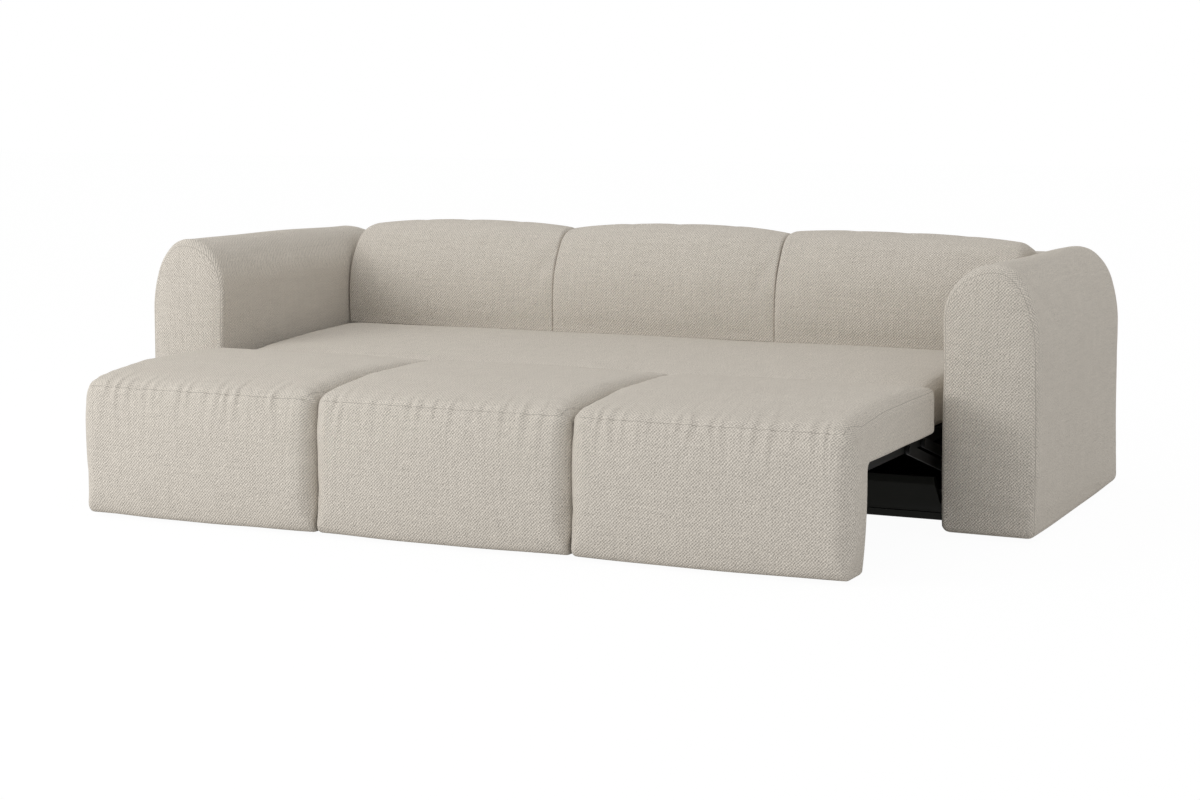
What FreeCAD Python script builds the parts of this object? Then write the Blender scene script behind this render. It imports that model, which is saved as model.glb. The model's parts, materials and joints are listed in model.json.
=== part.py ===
import FreeCAD, Part
import math
import os

# Three-seat sofa bed, drawn open. Lengths are in millimetres.
# Facing the sofa, +X is to the right and +Y runs to the back. +Z is up.
# The origin lies on the floor, under the middle of the open bed.
V = FreeCAD.Vector

# Overall sizes
overall_width = 2680.0
arm_width = 240.0
sofa_depth = 1097.0
seat_reach = 691.0
arm_height = 708.0
ground_gap = 15.0
seats = 3

# Clearances
seat_gap = 0.3
running_gap = 1.0
pin_clearance = 0.05
module_gap = 2.0
module_side_gap = 10.0
base_front_gap = 13.0

# Seat modules
module_underside = 273.0
module_edge_height = 372.0
module_crown = 405.0
front_panel_depth = 126.0
module_rear_setback = 30.0
module_roll = 45.0
module_inner_round = 20.0
module_foot_bulge = 115.0
module_head_bulge = 82.0
module_rear_drop = 13.0
module_side_drop = 12.0
module_swell = 10.0
module_corner_ease = 2.0
module_core_depth = 70.0
core_board = 18.0
core_side_margin = 32.0

# Swing links of the seat
link_length = 363.0
link_angle = 16.0
link_setback = 170.0
link_spacing = 130.0
link_thickness = 6.0
link_half_width = 13.0
hub_radius = 16.0
pin_radius = 6.0
pin_head_radius = 10.0
pin_head = 3.0

# Seat frame
rail_width = 30.0
rail_height = 20.0
cross_tubes = 3
seat_panel_thickness = 10.0
bracket_thickness = 4.0
bracket_width = 60.0
glide_radius = 20.0

# Sleeping pad and its links
pad_depth = 750.0
pad_side_room = 55.0
pad_underside = 262.0
pad_crown = 412.0
pad_front_height = 372.0
pad_rear_height = 388.0
pad_edge_round = 12.0
pad_end_round = 40.0
pad_side_round = 25.0
pad_corner_round = 30.0
pad_side_drop = 4.0
pad_swell = 8.0
pad_crown_shift = 30.0
pad_rail_width = 25.0
pad_rail_height = 24.0
pad_rail_inset = 5.0
pad_panel_thickness = 8.0
pad_link_length = 200.0
pad_link_angle = 92.0
pad_link_spacing = 350.0
pad_pin_radius = 7.0

# Connecting rod between the guide link and the front pad link
crank_radius = 28.0
crank_angle = 121.5
crank_spacing = 83.5
lever_length = 70.0
rod_thickness = 4.0
rod_half_width = 9.0
rod_pin_radius = 4.0
rod_play = 1.8

# Base
board = 24.0
plate_thickness = 6.0
base_bottom = 17.0
bottom_panel = 6.0
plinth_height = 18.7
plinth_depth = 18.0
shadow_gap = 2.3
front_board_height = 91.0
front_board_depth = 22.0
front_bevel_height = 19.0
front_bevel_depth = 6.0
front_board_end_gap = 65.0
front_board_slant = 21.0
front_board_foot = 22.0
side_board_height = 163.0
rear_board_height = 160.0
cross_rail_width = 30.0
cross_rail_height = 22.0
cross_rail_count = 3
corner_block = 28.0
base_glide_radius = 25.0
base_glide_inset = 120.0
base_glide_count = 3
back_glide_radius = 18.0
back_glide_count = 3
back_row_reach = 0.9
screw_radius = 2.5
screw_head_radius = 5.0
screw_head = 2.5
screw_length = 20.0
screw_count = 4

# Arms
arm_round = 115.0
arm_roll = 30.0
arm_rear_round = 140.0
arm_rear_drop = 80.0
arm_bulge = 8.0
arm_front_ease = 4.0
arm_widest_share = 0.45
arm_inner_round = 4.0
hem_round = 22.0
arm_padding = 40.0
arm_rear_padding = 104.0
arm_frame_top = 564.0
frame_board = 18.0
mount_rail_low = 50.0
mount_rail_high = 150.0
mount_rail_start = 230.0
mount_rail_length = 700.0
bolt_radius = 4.0
bolt_head_radius = 7.0
bolt_head = 4.0
bolt_bite = 40.0
arm_bolt_start = 80.0
arm_bolt_end = 32.0
arm_bolt_count = 3

# Back
back_depth = 105.0
back_height = 695.0
back_round = 45.0
back_padding = 23.0
back_frame_top = 640.0
back_frame_depth = 40.0
back_rail = 60.0
post_count = 5
post_width = 50.0
back_bolt_count = 4
back_bolt_reach = 0.8
strap_count = 3
strap_width = 40.0
strap_thickness = 2.5
cushion_bottom = 409.0
cushion_top = 742.0
cushion_depth = 270.0
cushion_gap = 2.0
cushion_side_gap = 3.0
cushion_heel_round = 10.0
cushion_rear_drop = 30.0
cushion_rear_round = 20.0
cushion_peak_depth = 90.0
cushion_peak_rise = 3.0
cushion_front_round = 60.0
cushion_lean = 8.0
cushion_belly = 6.0
cushion_chest_rise = 60.0
cushion_belly_drop = 70.0
cushion_toe_round = 30.0
cushion_side_ease = 4.0
cushion_foot_round = 25.0
cushion_shoulder_drop = 22.0
cushion_shoulder_round = 45.0
cushion_swell = 14.0
cushion_corner_round = 40.0
ledge_depth = 98.0
ledge_thickness = 14.7
ledge_bracket_height = 34.0
ledge_bracket_depth = 50.0
ledge_bracket_width = 30.0
ledge_bracket_count = 5

# Shape of outlines
over = 60.0
widest_share = 0.45
WIDE = -1.0

# Places worked out from the sizes above
half_width = overall_width / 2
inner_half = half_width - arm_width
open_depth = sofa_depth + seat_reach
front_y = -open_depth / 2
rear_y = open_depth / 2
arm_front_y = front_y + seat_reach
seat_half = inner_half - module_side_gap
pad_half_width = inner_half - pad_side_room
front_board_top_half = inner_half - front_board_end_gap
module_width = (2 * seat_half - (seats - 1) * module_gap) / seats
module_rear_y = arm_front_y - module_rear_setback
panel_rear_y = front_y + front_panel_depth
seat_frame_front = panel_rear_y + module_inner_round + seat_gap
rail_top = module_underside - seat_gap - seat_panel_thickness
rail_bottom = rail_top - rail_height
seat_pivot_z = rail_bottom + rail_height / 2
main_pivot_y = arm_front_y + link_setback
guide_pivot_y = main_pivot_y + link_spacing
link_rise = link_length * math.sin(math.radians(link_angle))
link_run = link_length * math.cos(math.radians(link_angle))
base_pivot_z = seat_pivot_z - link_rise
seat_travel = 2 * link_run

# Layers of the mechanism, from the base's side board inwards
board_outer = inner_half - seat_gap
board_inner = board_outer - board
plate_inner = board_inner - plate_thickness
link_outer = plate_inner - running_gap
link_inner = link_outer - link_thickness
head_outer = link_inner - running_gap
head_inner = head_outer - pin_head
rod_outer = head_inner - running_gap
rod_inner = rod_outer - rod_thickness
rail_outer = link_inner - running_gap - bracket_thickness / 2
rail_inner = rail_outer - rail_width
pad_rail_outer = pad_half_width - pad_rail_inset
pad_rail_inner = pad_rail_outer - pad_rail_width
pad_link_inner = pad_rail_outer + running_gap
pad_link_outer = pad_link_inner + link_thickness

# Heights and places of the pad
pad_front_y = arm_front_y
pad_rear_y = pad_front_y + pad_depth
pad_panel_top = pad_underside - seat_gap
pad_rail_top = pad_panel_top - pad_panel_thickness
pad_rail_bottom = pad_rail_top - pad_rail_height
pad_pivot_z = pad_rail_bottom + pad_rail_height / 2
pad_lean = pad_link_length * math.cos(math.radians(pad_link_angle))
pad_base_z = pad_pivot_z - pad_link_length * math.sin(math.radians(pad_link_angle))
pad_base_front_y = guide_pivot_y - crank_spacing
pad_base_rear_y = pad_base_front_y + pad_link_spacing
pad_frame_front_y = pad_front_y + rail_width / 2
pad_frame_rear_y = pad_rear_y - rail_width / 2

# Base and back
base_front_y = panel_rear_y + seat_travel + base_front_gap
back_front_y = rear_y - back_depth
base_rear_y = back_front_y - seat_gap
plinth_top = base_bottom + plinth_height
front_board_bottom = plinth_top + shadow_gap
front_board_top = front_board_bottom + front_board_height
floor_top = base_bottom + bottom_panel


def box(x_span, y_span, z_span):
    low = V(x_span[0], y_span[0], z_span[0])
    return Part.makeBox(x_span[1] - x_span[0], y_span[1] - y_span[0], z_span[1] - z_span[0], low)


def mirrored(shape):
    return shape.mirror(V(0, 0, 0), V(1, 0, 0))


def pin_along_x(radius, x_span, point):
    return Part.makeCylinder(radius, x_span[1] - x_span[0], V(x_span[0], point[0], point[1]), V(1, 0, 0))


def post(radius, z_span, x, y):
    return Part.makeCylinder(radius, z_span[1] - z_span[0], V(x, y, z_span[0]))


def rounded_corner(before, corner, after):
    """Start, middle and end of the arc that rounds a corner, in the outline's plane."""
    here = V(corner[0], corner[1], 0)
    back = V(before[0], before[1], 0) - here
    ahead = V(after[0], after[1], 0) - here
    half_turn = (math.pi - back.getAngle(ahead)) / 2
    radius = corner[2]
    if radius == WIDE:
        radius = widest_share * min(back.Length, ahead.Length) / math.tan(half_turn)
    reach = radius * math.tan(half_turn)
    back.normalize()
    ahead.normalize()
    inward = back + ahead
    inward.normalize()
    middle = here + inward * (radius / math.cos(half_turn) - radius)
    return here + back * reach, middle, here + ahead * reach


def outline(corners, place):
    """A closed face through (a, b, radius) corners; place turns a plane point into a space point."""
    edges = []
    arcs = []
    for i, corner in enumerate(corners):
        if corner[2] == 0:
            sharp = V(corner[0], corner[1], 0)
            arcs.append((sharp, None, sharp))
        else:
            arcs.append(rounded_corner(corners[i - 1], corner, corners[(i + 1) % len(corners)]))
    for i, (start, middle, end) in enumerate(arcs):
        if middle is not None:
            edges.append(Part.Arc(place(start), place(middle), place(end)).toShape())
        following = arcs[(i + 1) % len(arcs)][0]
        edges.append(Part.LineSegment(place(end), place(following)).toShape())
    return Part.Face(Part.Wire(edges))


def side_prism(corners, x_span):
    """An outline in (y, z), drawn out along X."""
    face = outline(corners, lambda p: V(x_span[0], p.x, p.y))
    return face.extrude(V(x_span[1] - x_span[0], 0, 0))


def front_prism(corners, y_span):
    """An outline in (x, z), drawn out along Y."""
    face = outline(corners, lambda p: V(p.x, y_span[0], p.y))
    return face.extrude(V(0, y_span[1] - y_span[0], 0))


def plan_prism(corners, z_span):
    """An outline in (x, y), drawn out along Z."""
    face = outline(corners, lambda p: V(p.x, p.y, z_span[0]))
    return face.extrude(V(0, 0, z_span[1] - z_span[0]))


def symmetric(right_corners):
    """Corners on +X, from the bottom up, and the same corners on -X."""
    left = [(-x, b, r) for x, b, r in reversed(right_corners) if x != 0]
    return right_corners + left


def strap(x_span, start, end, radius):
    """A flat bar with round ends between two (y, z) points."""
    run_y = end[0] - start[0]
    run_z = end[1] - start[1]
    length = math.hypot(run_y, run_z)
    across_y = -run_z / length * radius
    across_z = run_y / length * radius
    corners = [(start[0] + across_y, start[1] + across_z, 0), (end[0] + across_y, end[1] + across_z, 0),
               (end[0] - across_y, end[1] - across_z, 0), (start[0] - across_y, start[1] - across_z, 0)]
    bar = side_prism(corners, x_span)
    for point in (start, end):
        bar = bar.fuse(pin_along_x(radius, x_span, point))
    return bar.removeSplitter()


def bored(shape, radius, x_span, points):
    for point in points:
        shape = shape.cut(pin_along_x(radius, (x_span[0] - over, x_span[1] + over), point))
    return shape


def turned(centre, radius, degrees):
    """The (y, z) point at a radius and an angle from +Y towards +Z."""
    angle = math.radians(degrees)
    return centre[0] + radius * math.cos(angle), centre[1] + radius * math.sin(angle)


def spread(count, low, high):
    """Evenly spaced places from low to high."""
    return [low + (high - low) * i / (count - 1) for i in range(count)]


# Pivots, as (y, z) points
main_base = (main_pivot_y, base_pivot_z)
guide_base = (guide_pivot_y, base_pivot_z)
main_seat = (main_pivot_y - link_run, seat_pivot_z)
guide_seat = (guide_pivot_y - link_run, seat_pivot_z)
pad_base_front = (pad_base_front_y, pad_base_z)
pad_base_rear = (pad_base_rear_y, pad_base_z)
pad_top_front = (pad_base_front_y + pad_lean, pad_pivot_z)
pad_top_rear = (pad_base_rear_y + pad_lean, pad_pivot_z)
crank_point = turned(guide_base, crank_radius, crank_angle)
lever_point = turned(pad_base_front, lever_length, pad_link_angle)


def module_outlines(width):
    """Side, front and plan outlines of one L-shaped seat module, centred on X = 0."""
    half = width / 2
    hem = module_roll / 2
    drawn_in = hem / 4
    low_bulge = ground_gap + module_foot_bulge
    side = [(front_y + hem - drawn_in, ground_gap, hem), (front_y, low_bulge, WIDE),
            (front_y, module_edge_height - module_head_bulge, WIDE),
            (front_y + hem / 3, module_edge_height, module_roll),
            ((front_y + module_rear_y) / 2, module_crown, WIDE),
            (module_rear_y, module_crown - module_rear_drop, module_roll),
            (module_rear_y, module_underside, hem / 2),
            (panel_rear_y, module_underside, module_inner_round), (panel_rear_y, ground_gap, hem / 2)]
    front = [(half - drawn_in, ground_gap, hem), (half, low_bulge, WIDE),
             (half, module_crown - module_side_drop, module_roll), (0, module_crown + module_swell, WIDE)]
    plan = [(half, module_rear_y, hem), (half, front_y + hem / 2, module_roll - module_corner_ease),
            (0, front_y - hem / 2, WIDE)]
    return side, symmetric(front), symmetric(plan)


def soft_block(side, front, plan, x_span, y_span, z_span):
    """The space that three outlines share: a crowned, round-edged block."""
    block = side_prism(side, (x_span[0] - over, x_span[1] + over))
    block = block.common(front_prism(front, (y_span[0] - over, y_span[1] + over)))
    return block.common(plan_prism(plan, (z_span[0] - over, z_span[1] + over)))


def core_section(grow):
    """Outline in (y, z) of the timber inside a front panel: a board on a foot."""
    rear = panel_rear_y
    low = ground_gap + seat_gap
    top = rail_top
    foot_top = low + core_board
    foot_front = rear - module_core_depth
    board_front = rear - core_board
    return [(rear + grow, low - grow, 0), (rear + grow, top + grow, 0),
            (board_front - grow, top + grow, 0), (board_front - grow, foot_top + grow, 0),
            (foot_front - grow, foot_top + grow, 0), (foot_front - grow, low - grow, 0)]


def module_core():
    half = module_width / 2 - core_side_margin
    return side_prism(core_section(0), (-half, half))


def seat_module():
    """One upholstered seat block centred on X = 0, hollowed for the timber in its front panel."""
    side, front, plan = module_outlines(module_width)
    block = soft_block(side, front, plan, (-module_width / 2, module_width / 2),
                       (front_y, module_rear_y), (ground_gap, module_crown))
    half = module_width / 2 - core_side_margin + seat_gap
    return block.cut(side_prism(core_section(seat_gap), (-half, half)))


def seat_frame():
    """Two side rails, bored for the links, and the cross tubes welded between them."""
    rear = module_rear_y - bracket_thickness
    return tube_frame((rail_inner, rail_outer), (seat_frame_front, rear), (rail_bottom, rail_top),
                      rail_width, (main_seat, guide_seat))


def tube_frame(rail_x, span_y, height, tube, pivots):
    """Each tube stays a solid of its own, face to face with its neighbours."""
    rail = bored(box(rail_x, span_y, height), pin_radius + pin_clearance, rail_x, pivots)
    tubes = [rail, mirrored(rail)]
    for y in spread(cross_tubes, span_y[0], span_y[1] - tube):
        tubes.append(box((-rail_x[0], rail_x[0]), (y, y + tube), height))
    return Part.makeCompound(tubes)


def seat_panel(centre):
    half = min(module_width / 2 - module_gap, rail_outer - abs(centre))
    return box((centre - half, centre + half), (seat_frame_front, module_rear_y - bracket_thickness),
               (rail_top, rail_top + seat_panel_thickness))


def front_bracket(x):
    """A steel angle from the front panel's board to the front cross tube."""
    low = rail_bottom - bracket_thickness
    width = (x - bracket_width / 2, x + bracket_width / 2)
    leg = (panel_rear_y, panel_rear_y + bracket_thickness)
    upright = box(width, leg, (low - bracket_width, rail_bottom))
    shelf = box(width, (panel_rear_y, seat_frame_front + rail_width), (low, rail_bottom))
    return upright.fuse(shelf).removeSplitter()


def seat_pin(point):
    """A riveted pin through the side rail and its link, headed outside the link."""
    shaft = pin_along_x(pin_radius, (rail_inner, link_outer + running_gap), point)
    head_span = (link_outer + running_gap, link_outer + running_gap + pin_head)
    return shaft.fuse(pin_along_x(pin_head_radius, head_span, point))


def main_link():
    x_span = (link_inner, link_outer)
    link = strap(x_span, main_base, main_seat, link_half_width)
    link = link.fuse(pin_along_x(hub_radius, x_span, main_base))
    return bored(link, pin_radius + pin_clearance, x_span, (main_base, main_seat))


def guide_link():
    """The rear seat link, with a short crank for the connecting rod."""
    x_span = (link_inner, link_outer)
    link = strap(x_span, guide_base, guide_seat, link_half_width)
    link = link.fuse(pin_along_x(hub_radius, x_span, guide_base))
    link = link.fuse(strap(x_span, guide_base, crank_point, link_half_width))
    link = bored(link, pin_radius + pin_clearance, x_span, (guide_base, guide_seat))
    return bored(link, rod_pin_radius + pin_clearance, x_span, (crank_point,))


def crank_pin():
    head_span = (rod_inner - running_gap - pin_head / 2, rod_inner - running_gap)
    shaft = pin_along_x(rod_pin_radius, (head_span[1], link_outer), crank_point)
    return shaft.fuse(pin_along_x(rod_half_width, head_span, crank_point))


def base_pin(point):
    """A seat link's pivot: riveted in the mechanism plate, headed inside the link."""
    shaft = pin_along_x(pin_radius, (head_outer, board_inner), point)
    return shaft.fuse(pin_along_x(pin_head_radius, (head_inner, head_outer), point))


def pad_base_pin(point):
    head_end = pad_link_inner - running_gap / 2
    head_span = (head_end - pin_head / 2, head_end)
    shaft = pin_along_x(pad_pin_radius, (head_end, board_inner), point)
    return shaft.fuse(pin_along_x(pin_head_radius, head_span, point))


def pad_link(start, end, lever):
    x_span = (pad_link_inner, pad_link_outer)
    link = strap(x_span, start, end, link_half_width)
    link = bored(link, pad_pin_radius + pin_clearance, x_span, (start,))
    link = bored(link, pin_radius + pin_clearance, x_span, (end,))
    if lever:
        link = bored(link, rod_pin_radius + pin_clearance, x_span, (lever_point,))
    return link


def lever_pin():
    """The rod's pin on the front pad link."""
    shaft = pin_along_x(rod_pin_radius, (pad_link_inner, rod_outer + running_gap / 2), lever_point)
    head_span = (rod_outer + running_gap / 2, rod_outer + running_gap)
    head_radius = rod_pin_radius + rod_play + pin_head / 2
    return shaft.fuse(pin_along_x(head_radius, head_span, lever_point))


def connecting_rod():
    x_span = (rod_inner, rod_outer)
    rod = strap(x_span, crank_point, lever_point, rod_half_width)
    rod = rod.fuse(pin_along_x(rod_half_width + rod_play, x_span, lever_point)).removeSplitter()
    rod = bored(rod, rod_pin_radius + pin_clearance, x_span, (crank_point,))
    return bored(rod, rod_pin_radius + rod_play, x_span, (lever_point,))


def pad_pin(point):
    shaft = pin_along_x(pin_radius, (pad_rail_inner, pad_link_outer + running_gap), point)
    head_span = (pad_link_outer + running_gap, pad_link_outer + running_gap + pin_head / 2)
    return shaft.fuse(pin_along_x(pin_head_radius, head_span, point))


def pad_frame():
    return tube_frame((pad_rail_inner, pad_rail_outer), (pad_frame_front_y, pad_frame_rear_y),
                      (pad_rail_bottom, pad_rail_top), pad_rail_width, (pad_top_front, pad_top_rear))


def pad_panel():
    return box((-pad_rail_outer, pad_rail_outer), (pad_frame_front_y, pad_frame_rear_y),
               (pad_rail_top, pad_panel_top))


def sleeping_pad():
    side = [(pad_rear_y, pad_underside, pad_edge_round), (pad_rear_y, pad_rear_height, pad_end_round),
            ((pad_front_y + pad_rear_y) / 2 + pad_crown_shift, pad_crown, WIDE),
            (pad_front_y, pad_front_height, pad_end_round), (pad_front_y, pad_underside, pad_edge_round)]
    front = [(pad_half_width, pad_underside, pad_edge_round),
             (pad_half_width, pad_crown - pad_side_drop, pad_side_round), (0, pad_crown + pad_swell, WIDE)]
    plan = [(pad_half_width, pad_rear_y, pad_corner_round), (pad_half_width, pad_front_y, pad_corner_round)]
    return soft_block(side, symmetric(front), symmetric(plan), (-pad_half_width, pad_half_width),
                      (pad_front_y, pad_rear_y), (pad_underside, pad_crown))


def mechanism_plate():
    """The steel plate that holds the four pivots of one side."""
    margin = hub_radius + bracket_thickness
    front = main_pivot_y - margin
    rear = pad_base_rear_y + margin
    low = base_bottom + bracket_thickness
    step = pad_base_z + margin * 2
    top = base_pivot_z + margin
    bend = margin / 2
    corners = [(front, low, bend), (front, top, bend), (guide_pivot_y + margin, top, bend),
               (guide_pivot_y + 2 * margin, step, bend), (rear, step, bend), (rear, low, bend)]
    x_span = (plate_inner, board_inner)
    plate = side_prism(corners, x_span)
    plate = bored(plate, pin_radius + pin_clearance, x_span, (main_base, guide_base))
    plate = bored(plate, pad_pin_radius + pin_clearance, x_span, (pad_base_front, pad_base_rear))
    plate = bored(plate, screw_radius + pin_clearance, x_span, screw_points())
    return bored_blind(plate, screw_head_radius + pin_clearance, plate_inner, screw_head)


def screw_points():
    margin = hub_radius + bracket_thickness
    middle_y = (main_pivot_y + guide_pivot_y) / 2
    upper = [(middle_y, base_pivot_z), (middle_y, base_pivot_z - 2 * margin)]
    lower = [(y, pad_base_z) for y in spread(screw_count, pad_base_front_y, pad_base_rear_y)[1:-1]]
    return upper + lower


def bored_blind(plate, radius, face_x, depth):
    for point in screw_points():
        plate = plate.cut(pin_along_x(radius, (face_x - over, face_x + depth), point))
    return plate


def plate_screw(point):
    shaft = pin_along_x(screw_radius, (plate_inner + screw_head, plate_inner + screw_length), point)
    return shaft.fuse(pin_along_x(screw_head_radius, (plate_inner, plate_inner + screw_head), point))


def side_board():
    x_span = (board_inner, board_outer)
    panel = box(x_span, (base_front_y, base_rear_y), (base_bottom, base_bottom + side_board_height))
    bite = (board_inner, plate_inner + screw_length)
    for point in screw_points():
        panel = panel.cut(pin_along_x(screw_radius + pin_clearance, bite, point))
    return bored(panel, bolt_radius + pin_clearance, x_span, arm_bolt_points())


def arm_bolt_points():
    height = (mount_rail_low + mount_rail_high) / 2
    start = pad_base_rear_y + arm_bolt_start
    end = arm_front_y + mount_rail_start + mount_rail_length - arm_bolt_end
    return [(y, height) for y in spread(arm_bolt_count, start, end)]


def front_board():
    """The black board behind the seat, with a bevelled top and slanted ends."""
    face = base_front_y
    back = face + front_board_depth
    bevel_z = front_board_top - front_bevel_height
    section = [(face, front_board_bottom, 0), (back, front_board_bottom, 0), (back, front_board_top, 0),
               (face + front_bevel_depth, front_board_top, 0), (face, bevel_z, 0)]
    blank = side_prism(section, (-plate_inner, plate_inner))
    foot_z = front_board_bottom + front_board_foot
    top_half = front_board_top_half
    ends = [(plate_inner, front_board_bottom - over, 0), (plate_inner, foot_z, 0),
            (top_half + front_board_slant, foot_z, 0), (top_half, front_board_top, 0),
            (top_half, front_board_top + over, 0)]
    return blank.common(front_prism(symmetric(ends), (face - over, back + over)))


def plinth():
    span_y = (base_front_y, base_front_y + plinth_depth)
    return box((-plate_inner, plate_inner), span_y, (base_bottom, plinth_top))


def floor_panel():
    return box((-board_inner, board_inner), (base_front_y + plinth_depth, base_rear_y - board),
               (base_bottom, floor_top)).cut(plates_room())


def plates_room():
    """Room for the two mechanism plates above the floor panel's edges."""
    margin = hub_radius + bracket_thickness
    span_y = (main_pivot_y - margin - over, pad_base_rear_y + margin + over)
    span_z = (base_bottom + bracket_thickness - pin_clearance, floor_top + over)
    right = box((plate_inner - seat_gap, board_inner + over), span_y, span_z)
    return right.fuse(mirrored(right))


def cross_rails():
    half = pad_rail_inner
    rear = base_rear_y - board - cross_rail_width * 2
    places = spread(cross_rail_count, pad_base_front_y + link_spacing, rear)
    rails = [box((-half, half), (y, y + cross_rail_width), (floor_top, floor_top + cross_rail_height))
             for y in places]
    return Part.makeCompound(rails)


def corner_blocks():
    """Timber blocks that tie the front board to the plates and the plinth."""
    start = base_front_y + front_board_depth
    x_span = (plate_inner - corner_block, plate_inner)
    block = box(x_span, (start, start + corner_block), (floor_top, front_board_bottom + corner_block * 2))
    return Part.makeCompound([block, mirrored(block)])


def rear_board():
    span_y = (base_rear_y - board, base_rear_y)
    panel = box((-board_inner, board_inner), span_y, (base_bottom, rear_board_height))
    for x, z in back_bolt_points():
        panel = panel.cut(back_bolt_shaft(bolt_radius + pin_clearance, x, z))
    return panel


def floor_glides():
    """Every glide of the fixed part: under the base, the arms and the back."""
    glides = arm_glides() + back_glides()
    half = front_board_top_half - base_glide_inset
    for x in spread(base_glide_count, -half, half):
        for y in (base_front_y + base_glide_inset, base_rear_y - base_glide_inset):
            glides.append(post(base_glide_radius, (0, base_bottom), x, y))
    return Part.makeCompound(glides)


def arm_block():
    """The padded arm's outer form on +X: an arch, rolled at the front and rounded at the back."""
    front = [(inner_half, ground_gap, hem_round), (half_width - arm_bulge, ground_gap, hem_round),
             (half_width, arm_height * arm_widest_share, WIDE),
             (half_width - arm_bulge / 4, arm_height, arm_round),
             (inner_half, arm_height, arm_round)]
    side = [(arm_front_y + arm_front_ease, ground_gap, hem_round), (rear_y, ground_gap, hem_round),
            (rear_y, arm_height, arm_rear_drop), (arm_front_y, arm_height, arm_roll)]
    plan = [(inner_half, arm_front_y, arm_roll), (half_width, arm_front_y, arm_roll),
            (half_width, rear_y, arm_rear_round), (inner_half, rear_y, arm_inner_round)]
    return soft_block(side, front, plan, (inner_half, half_width), (arm_front_y, rear_y),
                      (ground_gap, arm_height))


def arm_core(grow):
    """The space of the arm's timber box, grown on every side."""
    return box((inner_half + arm_padding - grow, half_width - arm_padding + grow),
               (arm_front_y + arm_padding - grow, rear_y - arm_rear_padding + grow),
               (ground_gap + bracket_thickness - grow, arm_frame_top + grow))


def mount_rail(grow):
    """The block that carries the arm on the base, through the inner padding."""
    start = arm_front_y + mount_rail_start
    return box((inner_half - grow, inner_half + arm_padding),
               (start - grow, start + mount_rail_length + grow),
               (mount_rail_low - grow, mount_rail_high + grow))


def arm_cover():
    below = box((inner_half + arm_padding - seat_gap, half_width - arm_padding + seat_gap),
                (arm_front_y + arm_padding - seat_gap, rear_y - arm_rear_padding + seat_gap),
                (0, ground_gap + over))
    cover = arm_block().cut(arm_core(seat_gap)).cut(below)
    return cover.cut(mount_rail(seat_gap))


def arm_frame():
    outer = arm_core(0)
    frame = outer.cut(arm_core(-frame_board)).fuse(mount_rail(0)).removeSplitter()
    x_span = (inner_half, inner_half + bolt_bite)
    return bored_from_inside(frame, x_span)


def bored_from_inside(frame, x_span):
    for point in arm_bolt_points():
        frame = frame.cut(pin_along_x(bolt_radius + pin_clearance, (x_span[0] - over, x_span[1]), point))
    return frame


def arm_bolt(point):
    shaft = pin_along_x(bolt_radius, (board_inner, inner_half + bolt_bite - seat_gap), point)
    return shaft.fuse(pin_along_x(bolt_head_radius, (board_inner - bolt_head, board_inner), point))


def arm_glides():
    """Two glides under each arm's timber box."""
    x = (inner_half + half_width) / 2
    places = (arm_front_y + 3 * arm_padding, rear_y - arm_rear_padding - arm_padding)
    glides = [post(base_glide_radius, (0, ground_gap + bracket_thickness), x, y) for y in places]
    return glides + [mirrored(glide) for glide in glides]


def back_cavity(grow):
    front = back_front_y + back_padding
    return box((-inner_half + arm_padding - grow, inner_half - arm_padding + grow),
               (front - grow, front + back_frame_depth + strap_thickness + grow),
               (ground_gap + bracket_thickness - grow, back_frame_top + grow))


def back_cover():
    side = [(back_front_y, ground_gap, 0), (rear_y, ground_gap, hem_round),
            (rear_y, back_height, back_round), (back_front_y, back_height, hem_round)]
    body = side_prism(side, (-board_outer, board_outer))
    front = back_front_y + back_padding
    below = box((-inner_half + arm_padding - seat_gap, inner_half - arm_padding + seat_gap),
                (front - seat_gap, front + back_frame_depth + strap_thickness + seat_gap),
                (0, ground_gap + over))
    body = body.cut(back_cavity(seat_gap)).cut(below)
    for x, z in back_bolt_points():
        body = body.cut(back_bolt_shaft(bolt_radius + seat_gap, x, z))
    return body


def back_bolt_points():
    height = ground_gap + bracket_thickness + back_rail / 2
    reach = seat_half * back_bolt_reach
    return [(x, height) for x in spread(back_bolt_count, -reach, reach)]


def back_bolt_shaft(radius, x, z):
    start = base_rear_y - board
    return Part.makeCylinder(radius, board + back_padding + bolt_bite, V(x, start, z), V(0, 1, 0))


def back_bolt(x, z):
    under_head = base_rear_y - board
    head = Part.makeCylinder(bolt_head_radius, bolt_head, V(x, under_head - bolt_head, z), V(0, 1, 0))
    return back_bolt_shaft(bolt_radius, x, z).fuse(head)


def back_frame():
    """Timber frame of the backrest: two rails and upright posts."""
    front = back_front_y + back_padding + strap_thickness
    span_y = (front, front + back_frame_depth)
    half = inner_half - arm_padding
    low = ground_gap + bracket_thickness
    lower_rail = box((-half, half), span_y, (low, low + back_rail))
    for x, z in back_bolt_points():
        lower_rail = lower_rail.cut(back_bolt_shaft(bolt_radius + pin_clearance, x, z))
    pieces = [lower_rail, box((-half, half), span_y, (back_frame_top - back_rail, back_frame_top))]
    for x in spread(post_count, -half, half - post_width):
        pieces.append(box((x, x + post_width), span_y, (low + back_rail, back_frame_top - back_rail)))
    return Part.makeCompound(pieces)


def back_straps():
    """Elastic straps across the front of the back frame."""
    front = back_front_y + back_padding
    half = inner_half - arm_padding
    straps = []
    for z in spread(strap_count, cushion_bottom, back_frame_top - back_rail - strap_width):
        straps.append(box((-half, half), (front, front + strap_thickness), (z, z + strap_width)))
    return Part.makeCompound(straps)


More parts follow.
